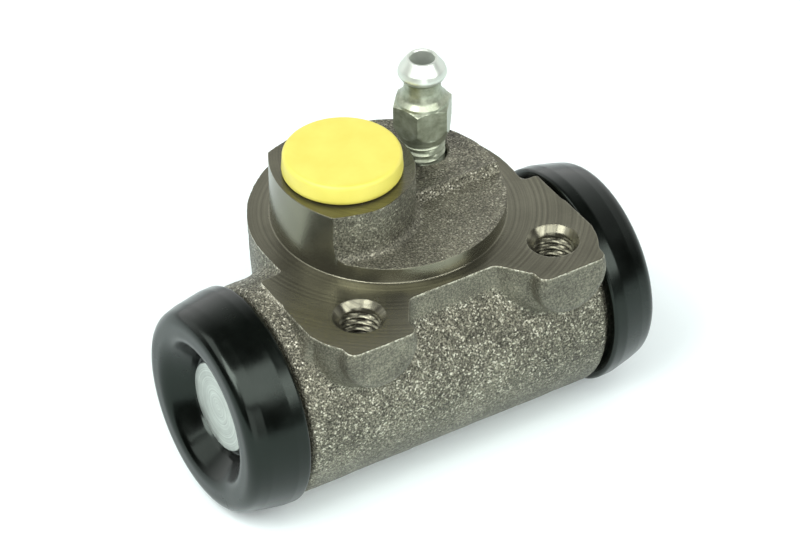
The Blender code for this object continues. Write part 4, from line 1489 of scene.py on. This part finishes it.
@dataclass
class Studio:
    """Pale floor, soft lights and the camera, which is set by the photograph's perspective.

    A lamp is (name, place in metres, size in metres, power in watts).
    """

    focal_px: float = 4440.0
    frame_px: tuple = (800.0, 533.0)
    origin_px: tuple = (388.2, 209.5)
    distance: float = 569.4
    yaw: float = 31.30
    elevation: float = 38.37
    roll: float = -0.48
    floor_z: float = -29.02
    floor_reach: float = 6000.0
    floor_colour: str = "#eaf5f4"
    floor_glow: float = 0.1
    lamps: tuple = (
        ("left_softbox", (-0.44, -0.16, 0.52), 0.36, 3.8),
        ("front_softbox", (-0.125, -0.466, 0.575), 0.5, 3.2),
        ("right_softbox", (0.286, -0.561, 0.409), 0.36, 2.4),
        ("front_card", (-0.33, -0.71, 0.166), 0.4, 1.0),
        ("rim_softbox", (-0.39, 0.2, 0.47), 0.4, 1.2),
    )
    backdrop_way: tuple = (0.5, 0.866, 0.0)
    backdrop_level: float = 1.6
    backdrop_top: tuple = (0.4, 0.85)
    room_level: float = 0.03

    def camera(self) -> None:
        """Stand the camera so that the frame's origin falls on its pixel.

        The view direction comes from yaw and elevation, then the camera turns by the roll and
        stands back along it, shifted sideways by the origin's offset from the picture's middle.
        """
        yaw, rise, roll = (math.radians(a) for a in (self.yaw, self.elevation, self.roll))
        ahead = Vector((math.sin(yaw) * math.cos(rise), math.cos(yaw) * math.cos(rise), -math.sin(rise)))
        level = ahead.cross(Vector((0, 0, 1))).normalized()
        over = level.cross(ahead)
        right = math.cos(roll) * level + math.sin(roll) * over
        up = -math.sin(roll) * level + math.cos(roll) * over
        across, down = ((at - size / 2) / self.focal_px for at, size in zip(self.origin_px, self.frame_px))
        place = -(ahead + right * across - up * down) * self.distance * MM
        data = bpy.data.cameras.new("camera")
        data.sensor_width = 36.0
        data.lens = self.focal_px * data.sensor_width / self.frame_px[0]
        data.clip_start, data.clip_end = 0.01, 20.0
        camera = bpy.data.objects.new("camera", data)
        turned = Matrix((right, up, -ahead)).transposed().to_4x4()
        camera.matrix_world = Matrix.Translation(place) @ turned
        bpy.context.scene.collection.objects.link(camera)
        bpy.context.scene.camera = camera

    def floor(self) -> None:
        """Lay a wide white floor that shows white to the camera but keeps the shadow."""
        corners = np.array([(-1, -1, 0), (1, -1, 0), (1, 1, 0), (-1, 1, 0)]) * self.floor_reach
        ground = mesh_piece("floor", corners + [0, 0, self.floor_z], np.array([[0, 1, 2, 3]]))
        made, tree, shader = new_material("white_paper")
        set_up(shader, {"Base Color": linear(self.floor_colour), "Roughness": 0.55})
        glow = node(tree, "Emission", {"Strength": self.floor_glow})
        total = node(tree, "AddShader", _0=shader.outputs[0], _1=glow)
        path = node(tree, "LightPath", out="Is Camera Ray")
        seen = node(tree, "MixShader", _0=path, _1=shader.outputs[0], _2=total)
        set_up(tree.nodes["Material Output"], {}, Surface=seen)
        ground.data.materials.append(made)

    def lights(self) -> None:
        """Hang the soft boxes, aimed at the part, in a dark room with a lit backdrop behind the part."""
        for name, place, size, power in self.lamps:
            lamp = bpy.data.lights.new(name, "AREA")
            lamp.shape = "SQUARE"
            lamp.size = size
            lamp.energy = power
            obj = bpy.data.objects.new(name, lamp)
            obj.location = place
            obj.rotation_euler = (-Vector(place)).to_track_quat("-Z", "Y").to_euler()
            bpy.context.scene.collection.objects.link(obj)
        world = bpy.data.worlds.new("photo_room")
        world.use_nodes = True
        tree = world.node_tree
        way = node(tree, "TexCoord", out="Generated")
        facing = {"operation": "DOT_PRODUCT", 1: self.backdrop_way}
        behind = node(tree, "VectorMath", facing, out="Value", _0=way)
        height = node(tree, "SeparateXYZ", out="Z", Vector=way)
        low, high = self.backdrop_top
        fade = {"From Min": low, "From Max": high, "To Min": self.backdrop_level, "To Max": 0.0}
        upright = node(tree, "MapRange", fade, Value=height)
        around = node(tree, "MapRange", {"From Max": 0.5, "To Max": 0.9}, Value=behind)
        lit = node(tree, "Math", {"operation": "MULTIPLY"}, _0=around, _1=upright)
        room = node(tree, "Math", {"operation": "ADD", 1: self.room_level}, _0=lit)
        path = node(tree, "LightPath", out="Is Camera Ray")
        level = node(tree, "Math", {"operation": "MAXIMUM"}, _0=room, _1=path)
        set_up(tree.nodes["Background"], {"Color": linear("#ffffff")}, Strength=level)
        bpy.context.scene.world = world

    def build(self) -> None:
        """Set up the whole studio."""
        self.camera()
        self.floor()
        self.lights()
        bpy.context.scene.view_settings.view_transform = "Standard"


def main() -> None:
    """Load the frame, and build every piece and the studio."""
    logging.basicConfig(level=logging.INFO, format="%(name)s: %(message)s")
    for obj in list(bpy.data.objects):
        bpy.data.objects.remove(obj, do_unlink=True)
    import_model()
    pieces = [Casting().build(SandCastIron().build(), TurnedIron().build())]
    boot_rubber = MouldedRubber().build()
    seal_rubber = MouldedRubber("moulded_seal_rubber", roughness=(0.34, 0.5)).build()
    aluminium = TurnedAluminium().build()
    plate = PlatedSteel("pressed_plated_steel", "#8d8a70", "#b9b394").build()
    for side, crest in ((Side.LEFT, 30.7), (Side.RIGHT, 29.9)):
        pieces.append(DustBoot(side, crest).build(boot_rubber))
        pieces += PistonSet(side).build(aluminium, seal_rubber, plate)
    wire = PlatedSteel("drawn_spring_steel", "#5f605c", "#8d8e8a").build()
    pieces += [ReturnSpring(side).build(wire) for side in Side]
    # the bleed screw's bead, above 14.9 mm, gets the painted highlight colour
    pieces.append(BleedScrew().build(PlatedSteel(bright_from=14.9).build()))
    pieces.append(PortPlug().build(MouldedPlastic().build()))
    for piece in pieces:
        LOG.info("%s: %d faces", piece.name, len(piece.data.polygons))
    Studio().build()
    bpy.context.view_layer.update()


if __name__ == "__main__":
    main()
